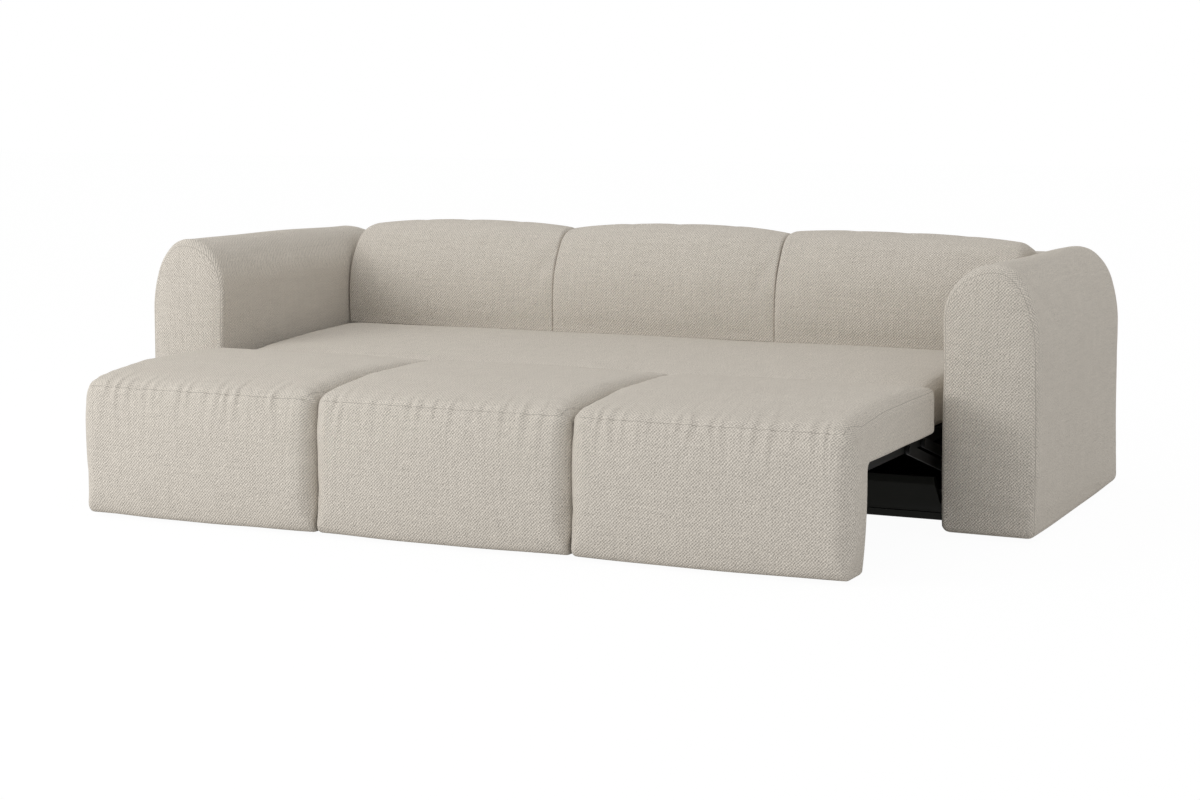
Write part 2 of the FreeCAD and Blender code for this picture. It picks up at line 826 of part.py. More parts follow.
def back_glides():
    y = back_front_y + back_padding + strap_thickness + back_frame_depth / 2
    reach = seat_half * back_row_reach
    places = spread(back_glide_count, -reach, reach)
    return [post(back_glide_radius, (0, ground_gap + bracket_thickness), x, y) for x in places]


def back_cushion(width):
    """One puffed back cushion centred on X = 0, leaning a little, upright on its ledge."""
    half = width / 2
    front = back_front_y - seat_gap - cushion_depth
    rear = back_front_y - seat_gap
    middle_z = (cushion_bottom + cushion_top) / 2
    side = [(rear, cushion_bottom, cushion_heel_round),
            (rear, cushion_top - cushion_rear_drop, cushion_rear_round),
            (rear - cushion_peak_depth, cushion_top + cushion_peak_rise, WIDE),
            (front + cushion_front_round, cushion_top, cushion_front_round),
            (front + cushion_lean, middle_z + cushion_chest_rise, WIDE),
            (front - cushion_belly, middle_z - cushion_belly_drop, WIDE),
            (front + cushion_belly, cushion_bottom, cushion_toe_round)]
    face = [(half - cushion_side_ease, cushion_bottom, cushion_foot_round), (half, middle_z, WIDE),
            (half - cushion_side_ease, cushion_top - cushion_shoulder_drop, cushion_shoulder_round),
            (0, cushion_top + cushion_swell, WIDE)]
    plan = [(half, rear, cushion_heel_round), (half, front + cushion_swell, cushion_corner_round),
            (0, front - cushion_swell, WIDE)]
    return soft_block(side, symmetric(face), symmetric(plan), (-half, half), (front, rear),
                      (cushion_bottom, cushion_top))


def cushion_ledge():
    rear = back_front_y - seat_gap
    top = cushion_bottom - seat_gap
    half = inner_half - cushion_side_gap
    return box((-half, half), (rear - ledge_depth, rear), (top - ledge_thickness, top))


def ledge_brackets():
    rear = back_front_y - seat_gap
    top = cushion_bottom - seat_gap - ledge_thickness
    low = top - ledge_bracket_height
    brackets = []
    reach = seat_half * back_row_reach
    for x in spread(ledge_bracket_count, -reach, reach):
        width = (x - ledge_bracket_width / 2, x + ledge_bracket_width / 2)
        upright = box(width, (rear - bracket_thickness, rear), (low, top))
        shelf = box(width, (rear - ledge_bracket_depth, rear), (top - bracket_thickness, top))
        brackets.append(upright.fuse(shelf).removeSplitter())
    return Part.makeCompound(brackets)


def both_sides(shapes):
    return Part.makeCompound(list(shapes) + [mirrored(shape) for shape in shapes])


def paired(nodes, name, shape):
    nodes[name + "_right"] = shape
    nodes[name + "_left"] = mirrored(shape)


def base_nodes():
    nodes = {"base_front_board": front_board(), "base_plinth": plinth(), "base_rear_board": rear_board(),
             "base_floor_panel": floor_panel(), "base_cross_rails": cross_rails(),
             "base_corner_blocks": corner_blocks(), "floor_glides": floor_glides()}
    paired(nodes, "base_side_board", side_board())
    paired(nodes, "mechanism_plate", mechanism_plate())
    nodes["plate_screws"] = both_sides([plate_screw(point) for point in screw_points()])
    nodes["seat_link_pivots"] = both_sides([base_pin(main_base), base_pin(guide_base)])
    nodes["pad_link_pivots"] = both_sides([pad_base_pin(pad_base_front), pad_base_pin(pad_base_rear)])
    return nodes


def arm_nodes():
    nodes = {}
    paired(nodes, "arm_cover", arm_cover())
    paired(nodes, "arm_frame", arm_frame())
    nodes["arm_bolts"] = both_sides([arm_bolt(point) for point in arm_bolt_points()])
    return nodes


def back_nodes():
    nodes = {"back_cover": back_cover(), "back_frame": back_frame(), "back_straps": back_straps(),
             "back_bolts": Part.makeCompound([back_bolt(x, z) for x, z in back_bolt_points()]),
             "cushion_ledge": cushion_ledge(), "ledge_brackets": ledge_brackets()}
    width = (2 * (inner_half - cushion_side_gap) - (seats - 1) * cushion_gap) / seats
    step = width + cushion_gap
    cushion = back_cushion(width)
    for i in range(seats):
        nodes["back_cushion_%d" % (i + 1)] = cushion.translated(V((i - (seats - 1) / 2) * step, 0, 0))
    return nodes


def seat_nodes():
    nodes = {"seat_frame": seat_frame()}
    module = seat_module()
    core = module_core()
    brackets = []
    glides = []
    for i in range(seats):
        centre = (i - (seats - 1) / 2) * (module_width + module_gap)
        number = "_%d" % (i + 1)
        nodes["seat_module" + number] = module.translated(V(centre, 0, 0))
        nodes["seat_panel" + number] = seat_panel(centre)
        nodes["front_core" + number] = core.translated(V(centre, 0, 0))
        for x in (centre - module_width / 3, centre + module_width / 3):
            brackets.append(front_bracket(x))
            y = panel_rear_y - module_core_depth / 2
            glides.append(post(glide_radius, (0, ground_gap + seat_gap), x, y))
    nodes["front_brackets"] = Part.makeCompound(brackets)
    nodes["front_glides"] = Part.makeCompound(glides)
    nodes["seat_pins"] = both_sides([seat_pin(main_seat), seat_pin(guide_seat)])
    return nodes


def link_nodes():
    nodes = {}
    paired(nodes, "main_link", main_link())
    paired(nodes, "guide_link", guide_link())
    paired(nodes, "crank_pin", crank_pin())
    paired(nodes, "connecting_rod", connecting_rod())
    paired(nodes, "pad_link_front", pad_link(pad_base_front, pad_top_front, True))
    paired(nodes, "pad_link_rear", pad_link(pad_base_rear, pad_top_rear, False))
    paired(nodes, "lever_pin", lever_pin())
    return nodes


def pad_nodes():
    return {"pad_frame": pad_frame(), "pad_panel": pad_panel(), "sleeping_pad": sleeping_pad(),
            "pad_pins": both_sides([pad_pin(pad_top_front), pad_pin(pad_top_rear)])}


def main():
    os.makedirs("parts", exist_ok=True)
    groups = (base_nodes(), arm_nodes(), back_nodes(), seat_nodes(), link_nodes(), pad_nodes())
    for nodes in groups:
        for name, shape in nodes.items():
            shape.exportStep("parts/" + name + ".step")


main()
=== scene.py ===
import json
import math

import bmesh
import bpy
import numpy as np
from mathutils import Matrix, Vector
from mathutils.bvhtree import BVHTree
from mathutils.kdtree import KDTree


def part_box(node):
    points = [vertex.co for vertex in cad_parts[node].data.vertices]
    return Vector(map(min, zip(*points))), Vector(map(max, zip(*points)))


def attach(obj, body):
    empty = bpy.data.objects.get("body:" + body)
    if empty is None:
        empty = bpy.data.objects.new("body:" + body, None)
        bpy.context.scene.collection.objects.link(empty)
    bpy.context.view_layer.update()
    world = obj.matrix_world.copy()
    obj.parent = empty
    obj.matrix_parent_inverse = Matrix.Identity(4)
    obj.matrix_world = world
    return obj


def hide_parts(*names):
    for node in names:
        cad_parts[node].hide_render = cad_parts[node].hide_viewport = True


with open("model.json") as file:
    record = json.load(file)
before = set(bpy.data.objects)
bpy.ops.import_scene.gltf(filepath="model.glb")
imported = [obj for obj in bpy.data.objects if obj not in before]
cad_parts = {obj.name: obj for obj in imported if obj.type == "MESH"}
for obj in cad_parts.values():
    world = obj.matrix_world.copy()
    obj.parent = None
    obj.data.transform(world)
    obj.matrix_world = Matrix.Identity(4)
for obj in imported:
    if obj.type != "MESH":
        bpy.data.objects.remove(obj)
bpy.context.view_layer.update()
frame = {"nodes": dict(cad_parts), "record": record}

bl_info = {
    "name": "Three-seat sofa bed",
    "version": (1, 0, 0),
    "blender": (4, 5, 0),
    "location": "View3D > Sidebar > Sofa bed",
    "description": "Upholstery, finishes and studio for an arched sofa bed, drawn open",
    "category": "Object",
}

SEATS = 3
SEAT_COUNTS = (112, 12, 112, 12)    # points along the front and top, rear, inside and foot of a seat block
SEAT_STEPS = 124                    # stations across a seat block
SEAT_ROLL_STEPS = 7                 # stations round each of its side edges
SEAM_HEIGHT = 0.357                 # of the seam across a seat block's front
SEAM_DROP = 10                      # ring points from the front seam up to the side seams
FLOOR_GAP = 0.011                   # under the arms and the back cover
ARM_ROLL_STEPS = 8                  # stations round an arm's front edge
WIDE = 9.0                          # a corner radius that takes as much as its sides allow
WEAVE_MAP = "weave"                 # UV map with the cloth's own coordinates in metres
AXIS = np.array(1.0), np.array(0.0), np.array(0.0)      # one step along a block, none across it


# Outlines ------------------------------------------------------------------

def rounded_outline(corners, step=0.002):
    """Points along a closed outline of (a, b, radius) corners; an arc is never wider than its sides allow."""
    points = []
    count = len(corners)
    for i in range(count):
        before, here, after = (np.array(corners[(i + k) % count][:2], float) for k in (-1, 0, 1))
        back, ahead = before - here, after - here
        back_length, ahead_length = np.linalg.norm(back), np.linalg.norm(ahead)
        back, ahead = back / back_length, ahead / ahead_length
        turn = math.pi - math.acos(float(np.clip(back @ ahead, -1, 1)))
        radius = min(corners[i][2], 0.49 * min(back_length, ahead_length) / math.tan(turn / 2))
        inward = (back + ahead) / np.linalg.norm(back + ahead)
        centre = here + inward * radius / math.cos(turn / 2)
        arm = here + back * radius * math.tan(turn / 2) - centre
        side = np.sign(back[1] * ahead[0] - back[0] * ahead[1])
        pieces = max(2, int(turn * radius / step))
        for j in range(pieces + 1):
            angle = side * turn * j / pieces
            c, s = math.cos(angle), math.sin(angle)
            points.append(centre + np.array([c * arm[0] - s * arm[1], s * arm[0] + c * arm[1]]))
    return np.array(points)


def lengths_along(points):
    return np.concatenate([[0], np.cumsum(np.linalg.norm(np.diff(points, axis=0), axis=1))])


def ring_of(corners, marks, counts):
    """A closed ring of sum(counts) points, cut into four chains at the outline points nearest the marks."""
    dense = rounded_outline(corners)
    dense = np.vstack([dense, dense[:1]])
    along = lengths_along(dense)
    total = along[-1]
    fine = np.linspace(0, total, 4000, endpoint=False)
    fine_points = np.stack([np.interp(fine, along, dense[:, k]) for k in (0, 1)], 1)
    places = [fine[np.argmin(((fine_points - np.array(m)) ** 2).sum(1))] for m in marks]
    ring = []
    for k, n in enumerate(counts):
        start = places[k]
        end = places[(k + 1) % len(places)]
        if end <= start:
            end += total
        at = (start + (end - start) * np.arange(n) / n) % total
        ring.append(np.stack([np.interp(at, along, dense[:, j]) for j in (0, 1)], 1))
    return np.vstack(ring)


def inward_normals(ring):
    """Unit normals that point into a ring that runs clockwise."""
    ahead = np.roll(ring, -1, 0) - np.roll(ring, 1, 0)
    ahead /= np.linalg.norm(ahead, axis=1)[:, None]
    return np.stack([ahead[:, 1], -ahead[:, 0]], 1)


def soft_edge(ring, roll):
    """How far each ring point may be rolled: the roll, but less than the ring's own bend."""
    before, after = np.roll(ring, 1, 0) - ring, np.roll(ring, -1, 0) - ring
    cross = before[:, 1] * after[:, 0] - before[:, 0] * after[:, 1]
    chord = np.linalg.norm(np.roll(ring, -1, 0) - np.roll(ring, 1, 0), axis=1)
    bend = 2 * cross / (np.linalg.norm(before, axis=1) * np.linalg.norm(after, axis=1) * chord)
    radius = np.where(bend < -1e-6, -1 / np.minimum(bend, -1e-6), 10.0)
    allowed = np.minimum(roll, 0.88 * radius)
    for _ in range(6):
        near = np.minimum(np.minimum(np.roll(allowed, 1), np.roll(allowed, -1)) + 0.004, allowed)
        allowed = np.minimum(allowed, near)
    for _ in range(3):
        allowed = np.minimum(allowed, (np.roll(allowed, 1) + 2 * allowed + np.roll(allowed, -1)) / 4)
    return allowed


# Swept soft blocks ---------------------------------------------------------

class SoftBlock:
    """Sections along one axis, with rolled edges and swollen ends, kept as arrays until the mesh is made."""

    def __init__(self, section, low, high, counts, steps, rolls, roll_steps=6, swell=(0.0, 0.0), place=None,
                 end_pull=None, pinch=(0.0, 0.0)):
        self.counts = counts
        self.place = place or (lambda t, a, b: np.stack([t, a, b], -1))
        count = sum(counts)
        stations = [("low", 90 - 90 * k / roll_steps) for k in range(roll_steps)]
        stations += [("flat", k / steps) for k in range(steps + 1)]
        stations += [("high", 90 * (k + 1) / roll_steps) for k in range(roll_steps)]
        self.middle = roll_steps + steps // 2
        grid = np.zeros((len(stations), count, 3))
        for s, (kind, value) in enumerate(stations):
            share = {"low": 0.0, "flat": value, "high": 1.0}[kind]
            start, stop = low + pinch[0] + rolls[0], high - pinch[1] - rolls[1]
            reach = start + (stop - start) * share
            ring = section(2 * (float(reach.mean()) - low) / (high - low) - 1)
            if kind != "flat":
                angle = math.radians(value)
                roll = rolls[0] if kind == "low" else rolls[1]
                out = roll * math.sin(angle)
                reach = reach - out if kind == "low" else reach + out
                inset = 1 - math.cos(angle)
                if kind == "high" and end_pull is not None:
                    ring = ring + end_pull(ring) * inset
                else:
                    ring = ring + inward_normals(ring) * (roll * inset)[:, None]
            grid[s] = self.place(reach, ring[:, 0], ring[:, 1])
        self.grid = grid
        self.swell = swell

    def cap_grid(self, ring, sign, swell):
        """A grid of points across one end, from its ring's four chains."""
        na, nb = self.counts[0], self.counts[1]
        a = np.linspace(0, 1, na + 1)[:, None, None]
        b = np.linspace(0, 1, nb + 1)[None, :, None]
        closed = np.vstack([ring, ring[:1]])
        chain_a = closed[:na + 1][:, None]
        chain_b = closed[na:na + nb + 1][None]
        chain_c = closed[na + nb:2 * na + nb + 1][::-1][:, None]
        chain_d = closed[2 * na + nb:][::-1][None]
        corners = ((1 - a) * (1 - b) * closed[0] + a * (1 - b) * closed[na] + a * b * closed[na + nb]
                   + (1 - a) * b * closed[2 * na + nb])
        cap = (1 - b) * chain_a + b * chain_c + (1 - a) * chain_d + a * chain_b - corners
        dome = (1 - (2 * a - 1) ** 4) * (1 - (2 * b - 1) ** 2)
        return cap + self.place(*AXIS) * dome * sign * swell

    def mesh(self, name):
        """The closed mesh, with the cloth's own flat coordinates as a UV map in metres."""
        stations, count = self.grid.shape[:2]
        na, nb = self.counts[0], self.counts[1]
        verts = [self.grid.reshape(-1, 3)]
        index = np.arange(stations * count).reshape(stations, count)
        across = np.zeros((stations, count))
        steps = np.linalg.norm(np.diff(self.grid, axis=0), axis=2)
        across[1:] = np.cumsum(steps, 0)
        across -= across[self.middle]
        ring = self.grid[self.middle]
        along = lengths_along(np.vstack([ring, ring[:1]]))
        offset = float(ring.mean(0) @ self.place(*AXIS))
        faces, maps = [], []
        for s in range(stations - 1):
            for i in range(count):
                j = (i + 1) % count
                faces.append((index[s, i], index[s, j], index[s + 1, j], index[s + 1, i]))
                maps.append(((across[s, i] + offset, along[i]), (across[s, j] + offset, along[i + 1]),
                             (across[s + 1, j] + offset, along[i + 1]), (across[s + 1, i] + offset, along[i])))
        next_vert = stations * count
        for end, sign, swell in ((0, -1, self.swell[0]), (stations - 1, 1, self.swell[1])):
            cap = self.cap_grid(self.grid[end], sign, swell)
            ids = np.zeros((na + 1, nb + 1), int)
            ring_ids = np.append(index[end], index[end][0])
            ids[:, 0] = ring_ids[:na + 1]
            ids[na, :] = ring_ids[na:na + nb + 1]
            ids[:, nb] = ring_ids[na + nb:2 * na + nb + 1][::-1]
            ids[0, :] = ring_ids[2 * na + nb:][::-1]
            inner = (na - 1) * (nb - 1)
            ids[1:-1, 1:-1] = next_vert + np.arange(inner).reshape(na - 1, nb - 1)
            next_vert += inner
            verts.append(cap[1:-1, 1:-1].reshape(-1, 3))
            flat = self.flat_map(cap)
            for p in range(na):
                for q in range(nb):
                    corner = ((p, q), (p + 1, q), (p + 1, q + 1), (p, q + 1))
                    faces.append(tuple(ids[c] for c in corner))
                    maps.append(tuple(tuple(flat[c]) for c in corner))
        mesh = bpy.data.meshes.new(name)
        mesh.from_pydata(np.vstack(verts).tolist(), [], [tuple(int(v) for v in f) for f in faces])
        layer = mesh.uv_layers.new(name=WEAVE_MAP)
        layer.uv.foreach_set("vector", np.array(maps, np.float32).ravel())
        work = bmesh.new()
        work.from_mesh(mesh)
        bmesh.ops.recalc_face_normals(work, faces=work.faces)
        work.to_mesh(mesh)
        work.free()
        mesh.polygons.foreach_set("use_smooth", [True] * len(mesh.polygons))
        return mesh

    def flat_map(self, cap):
        """The two coordinates that lie in the plane of an end."""
        return cap[..., np.abs(self.place(*AXIS)) < 0.5]

    def path(self, stations, indices):
        """Points on the block at fractional (station, ring index) places."""
        count = self.grid.shape[1]
        points = []
        for s, i in zip(stations, indices):
            s0 = int(np.clip(math.floor(s), 0, len(self.grid) - 2))
            i0 = int(math.floor(i))
            fs, fi = s - s0, i - i0
            row0 = self.grid[s0, i0 % count] * (1 - fi) + self.grid[s0, (i0 + 1) % count] * fi
            row1 = self.grid[s0 + 1, i0 % count] * (1 - fi) + self.grid[s0 + 1, (i0 + 1) % count] * fi
            points.append(row0 * (1 - fs) + row1 * fs)
        return np.array(points)


# Cloth detail --------------------------------------------------------------

def mesh_arrays(mesh):
    co = np.zeros(len(mesh.vertices) * 3)
    no = np.zeros(len(mesh.vertices) * 3)
    mesh.vertices.foreach_get("co", co)
    mesh.vertex_normals.foreach_get("vector", no)
    return co.reshape(-1, 3), no.reshape(-1, 3)


def put_back(mesh, co):
    mesh.vertices.foreach_set("co", co.astype(np.float32).ravel())
    mesh.update()


def resampled(path, spacing):
    along = lengths_along(path)
    at = np.linspace(0, along[-1], max(2, int(along[-1] / spacing)))
    return np.stack([np.interp(at, along, path[:, k]) for k in range(3)], 1)


def nearest_on_path(points, path):
    """Distance from each point to a path, and how far along the path that is."""
    fine = resampled(path, 0.004)
    along = lengths_along(fine)
    distance = np.full(len(points), 1e9)
    place = np.zeros(len(points))
    low, high = fine.min(0) - 0.25, fine.max(0) + 0.25
    near = np.where(((points > low) & (points < high)).all(1))[0]
    for chunk in np.array_split(near, max(1, len(near) // 1500)):
        gap = ((points[chunk][:, None] - fine[None]) ** 2).sum(2)
        best = gap.argmin(1)
        distance[chunk] = np.sqrt(gap[np.arange(len(chunk)), best])
        place[chunk] = along[best]
    return distance, place


def sew_in(mesh, path, depth, width):
    """Draws the cloth in along a seam."""
    co, no = mesh_arrays(mesh)
    distance, _ = nearest_on_path(co, path)
    co -= no * (depth * np.exp(-(distance / width) ** 2))[:, None]
    put_back(mesh, co)


def pucker(mesh, path, seed, height, corner_places, total):
    """Small folds that cross a seam, closer together beside the corners, longest on the top side."""
    rng = np.random.default_rng(seed)
    co, no = mesh_arrays(mesh)
    distance, place = nearest_on_path(co, path)
    push = np.zeros(len(co))
    at = 0.01
    while at < total:
        corner = min(abs(at - c) for c in corner_places)
        tight = math.exp(-(corner / 0.13) ** 2)
        front = corner_places[0] - 0.05 < at < corner_places[1] + 0.05
        lift = height * (0.70 + 0.25 * tight) * (0.35 + 0.9 * rng.random()) * (1.0 if front else 0.25)
        breadth = 0.0055 + 0.0045 * rng.random()
        reach = (0.055 + 0.060 * rng.random()) * (0.8 + 0.5 * tight)
        lean = rng.normal(0, 0.09)
        bow = rng.normal(0, 0.6)
        offset = place - at + lean * distance + bow * distance ** 2
        valley = np.exp(-((offset - 1.8 * breadth) / (1.1 * breadth)) ** 2)
        fold = np.exp(-(offset / breadth) ** 2) - 0.8 * valley
        push += lift * fold * np.exp(-(distance / reach) ** 2) * (0.6 + 0.4 * np.exp(-(distance / 0.02) ** 2))
        at += 0.018 + (0.016 + 0.028 * (1 - tight)) * rng.random()
    co += no * push[:, None]
    put_back(mesh, co)


def soft_waves(mesh, seed, height, scale, share=None):
    """Slow unevenness, as in any stuffed cover; share gives how much of it each place takes."""
    rng = np.random.default_rng(seed)
    co, no = mesh_arrays(mesh)
    push = np.zeros(len(co))
    for _ in range(9):
        direction = rng.normal(size=3)
        direction /= np.linalg.norm(direction)
        wave = scale * (0.7 + 0.9 * rng.random())
        push += np.sin(co @ direction * (2 * math.pi / wave) + rng.random() * 2 * math.pi)
    push *= height / 3 if share is None else height / 3 * share(co)
    co += no * push[:, None]
    put_back(mesh, co)


def simulated_lift(mesh, held, cap, pressure=4.0, growth=0.004, frames=20):
    """Where each vertex of a cover moves when blown up a little as cloth, and held as much as held says."""
    places, _ = mesh_arrays(mesh)
    obj = bpy.data.objects.new("cloth_trial", mesh)
    bpy.context.scene.collection.objects.link(obj)
    group = obj.vertex_groups.new(name="held")
    for i in np.where(held > 0)[0]:
        group.add([int(i)], float(held[i]), "REPLACE")
    settings = obj.modifiers.new("Cloth", "CLOTH").settings
    settings.quality = 5
    settings.mass = 0.3
    settings.use_pressure = True
    settings.uniform_pressure_force = pressure
    settings.effector_weights.gravity = 0
    settings.vertex_group_mass = "held"
    settings.shrink_min = -growth
    for step in range(1, frames + 1):
        bpy.context.scene.frame_set(step)
    settled = obj.evaluated_get(bpy.context.evaluated_depsgraph_get()).to_mesh()
    moved = np.zeros(len(places) * 3)
    settled.vertices.foreach_get("co", moved)
    bpy.data.objects.remove(obj)
    bpy.context.scene.frame_set(1)
    moves = moved.reshape(-1, 3) - places
    length = np.maximum(np.linalg.norm(moves, axis=1), 1e-9)
    return places, moves * (cap * np.tanh(length / cap) / length)[:, None]


def carry(mesh, places, moves):
    """Moves a fine mesh as the nearest vertices of the simulated one moved."""
    if not moves.any():
        return
    tree = KDTree(len(places))
    for i, place in enumerate(places):
        tree.insert(place, i)
    tree.balance()
    co, _ = mesh_arrays(mesh)
    for k, point in enumerate(co.copy()):
        found = tree.find_n(point, 5)
        weights = np.array([1 / (gap * gap + 2e-5) for _, _, gap in found])
        co[k] += (moves[[i for _, i, _ in found]] * weights[:, None]).sum(0) / weights.sum()
    put_back(mesh, co)


def seam_thread(name, target, path, radius, material, sink=0.35):
    """A fine seam line laid on a mesh along a path, closed or open."""
    tree = BVHTree.FromPolygons([v.co for v in target.vertices], [p.vertices for p in target.polygons])
    points = []
    for p in resampled(path, 0.006):
        spot, normal, _, _ = tree.find_nearest(Vector(p))
        points.append((spot - normal * radius * sink, normal))
    verts, faces = [], []
    sides = 6
    for k, (spot, normal) in enumerate(points):
        ahead = points[min(k + 1, len(points) - 1)][0] - points[max(k - 1, 0)][0]
        ahead.normalize()
        side = ahead.cross(normal).normalized()
        up = side.cross(ahead).normalized()
        for j in range(sides):
            angle = 2 * math.pi * j / sides
            verts.append(spot + side * radius * math.cos(angle) + up * radius * 0.7 * math.sin(angle))
    for k in range(len(points) - 1):
        for j in range(sides):
            a, b = k * sides + j, k * sides + (j + 1) % sides
            faces.append((a, b, b + sides, a + sides))
    faces.append(tuple(range(sides))[::-1])
    last = (len(points) - 1) * sides
    faces.append(tuple(range(last, last + sides)))
    mesh = bpy.data.meshes.new(name)
    mesh.from_pydata(verts, [], faces)
    mesh.polygons.foreach_set("use_smooth", [True] * len(mesh.polygons))
    obj = bpy.data.objects.new(name, mesh)
    bpy.context.scene.collection.objects.link(obj)
    mesh.materials.append(material)
    return obj


def finish_piece(name, mesh, material, body, nodes, levels=1):
    """A soft piece in the scene, riding on its body in place of its plain solids."""
    obj = bpy.data.objects.new(name, mesh)
    bpy.context.scene.collection.objects.link(obj)
    mesh.materials.append(material)
    if levels:
        smooth = obj.modifiers.new("Smooth cloth", "SUBSURF")
        smooth.levels = levels
        smooth.render_levels = levels
    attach(obj, body)
    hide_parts(*nodes)


# Materials -----------------------------------------------------------------

def new_group(name, inputs, outputs):
    group = bpy.data.node_groups.new(name, "ShaderNodeTree")
    for label, kind, value in inputs:
        socket = group.interface.new_socket(name=label, in_out="INPUT", socket_type=kind)
        if value is not None:
            socket.default_value = value
    for label, kind in outputs:
        group.interface.new_socket(name=label, in_out="OUTPUT", socket_type=kind)
    return group, group.nodes.new("NodeGroupInput"), group.nodes.new("NodeGroupOutput")


def maths(tree, operation, *values, clamp=False):
    node = tree.nodes.new("ShaderNodeMath")
    node.operation = operation
    node.use_clamp = clamp
    for k, value in enumerate(values):
        if isinstance(value, (int, float)):
            node.inputs[k].default_value = value
        else:
            tree.links.new(value, node.inputs[k])
    return node.outputs[0]


def vector_maths(tree, operation, first, second):
    node = tree.nodes.new("ShaderNodeVectorMath")
    node.operation = operation
    tree.links.new(first, node.inputs[0])
    socket = node.inputs["Scale" if operation == "SCALE" else 1]
    if isinstance(second, tuple):
        socket.default_value = second
    else:
        tree.links.new(second, socket)
    return node.outputs[0]


def noise(tree, vector, scale, detail=3.0, rough=0.5):
    node = tree.nodes.new("ShaderNodeTexNoise")
    node.inputs["Detail"].default_value = detail
    node.inputs["Roughness"].default_value = rough
    if isinstance(scale, (int, float)):
        node.inputs["Scale"].default_value = scale
    else:
        tree.links.new(scale, node.inputs["Scale"])
    tree.links.new(vector, node.inputs["Vector"])
    return node


def blend_colours(tree, factor, first, second):
    node = tree.nodes.new("ShaderNodeMix")
    node.data_type = "RGBA"
    for socket, value in ((node.inputs[0], factor), (node.inputs[6], first), (node.inputs[7], second)):
        if isinstance(value, (int, float, tuple)):
            socket.default_value = value
        else:
            tree.links.new(value, socket)
    return node.outputs[2]


def weave_group():
    """Nubby cloth: slanting rows of small loops, uneven in size, place and tone, on threads that differ too.
    The tone follows the loop height, so the gaps carry painted shade and the loop tops a painted highlight.
    """
    group, start, end = new_group(
        "Nubby weave",
        [("Vector", "NodeSocketVector", None), ("Loop Width", "NodeSocketFloat", 0.0083),
         ("Loop Height", "NodeSocketFloat", 0.0086), ("Unevenness", "NodeSocketFloat", 0.0016)],
        [("Height", "NodeSocketFloat"), ("Painted Shade And Tone", "NodeSocketFloat")])

    def calc(operation, *values, clamp=False):
        return maths(group, operation, *values, clamp=clamp)

    vector = start.outputs["Vector"]
    drift = vector_maths(group, "SUBTRACT", noise(group, vector, 90.0, 1.0).outputs["Color"], (0.5, 0.5, 0.5))
    stray = vector_maths(group, "SCALE", drift, calc("MULTIPLY", start.outputs["Unevenness"], 4.0))
    parts = group.nodes.new("ShaderNodeSeparateXYZ")
    group.links.new(vector_maths(group, "ADD", vector, stray), parts.inputs[0])
    column, row = (calc("MULTIPLY", calc("DIVIDE", parts.outputs[k], start.outputs[label]), 2 * math.pi)
                   for k, label in enumerate(("Loop Width", "Loop Height")))
    plump = calc("MULTIPLY_ADD", noise(group, vector, 78.0, 1.0).outputs["Fac"], 1.6, 0.2)
    loops = calc("MULTIPLY", calc("COSINE", calc("SUBTRACT", column, row)), plump)
    loops = calc("ADD", loops, calc("MULTIPLY", calc("COSINE", column), 0.15))
    loops = calc("ADD", loops, calc("MULTIPLY", calc("COSINE", calc("ADD", column, row)), 0.60))
    fibre = noise(group, vector, 240.0, 1.0, 0.6)
    fuzz = calc("MULTIPLY", calc("SUBTRACT", fibre.outputs["Fac"], 0.5), 3.0)
    drawn_out = (vector_maths(group, "MULTIPLY", vector, stretch)
                 for stretch in ((9.0, 105.0, 9.0), (110.0, 9.0, 9.0)))
    threads = [calc("SUBTRACT", noise(group, lines, 1.0, 1.0).outputs["Fac"], 0.5) for lines in drawn_out]
    streak = calc("MULTIPLY", calc("ADD", *threads), 0.7)
    raw = calc("ADD", calc("ADD", loops, fuzz), streak)
    group.links.new(calc("MULTIPLY_ADD", raw, 0.24, 0.5, clamp=True), end.inputs["Height"])
    # tone from the same signal as the height: painted shade in the gaps between loops, painted highlight on the
    # loop tops
    group.links.new(calc("MULTIPLY_ADD", raw, 0.23, 0.54, clamp=True), end.inputs["Painted Shade And Tone"])
    return group


def patch_group():
    """Slow changes of shade over a surface, from two sizes of soft noise."""
    group, start, end = new_group(
        "Slow shade",
        [("Vector", "NodeSocketVector", None), ("Size", "NodeSocketFloat", 2.5)],
        [("Shade", "NodeSocketFloat")])
    large = noise(group, start.outputs["Vector"], start.outputs["Size"], 2.0)
    small = noise(group, start.outputs["Vector"], maths(group, "MULTIPLY", start.outputs["Size"], 9.0), 2.0)
    base = maths(group, "MULTIPLY", large.outputs["Fac"], 0.65)
    group.links.new(maths(group, "MULTIPLY_ADD", small.outputs["Fac"], 0.35, base), end.inputs["Shade"])
    return group


def grain_group():
    """Long fibres of wood or rolled metal: noise drawn out along one axis."""
    group, start, end = new_group(
        "Long grain",
        [("Vector", "NodeSocketVector", None), ("Stretch", "NodeSocketVector", (3.0, 60.0, 60.0)),
         ("Contrast", "NodeSocketFloat", 1.0)],
        [("Grain", "NodeSocketFloat")])
    stretched = vector_maths(group, "MULTIPLY", start.outputs["Vector"], start.outputs["Stretch"])
    lines = noise(group, stretched, 1.0, 5.0, 0.6)
    centred = maths(group, "SUBTRACT", lines.outputs["Fac"], 0.5)
    value = maths(group, "ADD", maths(group, "MULTIPLY", centred, start.outputs["Contrast"]), 0.5, clamp=True)
    group.links.new(value, end.inputs["Grain"])
    return group


def put_group(tree, group, vector=None, **values):
    node = tree.nodes.new("ShaderNodeGroup")
    node.node_tree = group
    if vector is not None:
        tree.links.new(vector, node.inputs["Vector"])
    for label, value in values.items():
        node.inputs[label.replace("_", " ")].default_value = value
    return node


def bare_material(name):
    material = bpy.data.materials.new(name)
    material.use_nodes = True
    return material, material.node_tree, material.node_tree.nodes["Principled BSDF"]


def toned(colour, share):
    """A colour made lighter or darker, with full alpha."""
    return tuple(min(1.0, c * share) for c in colour) + (1.0,)


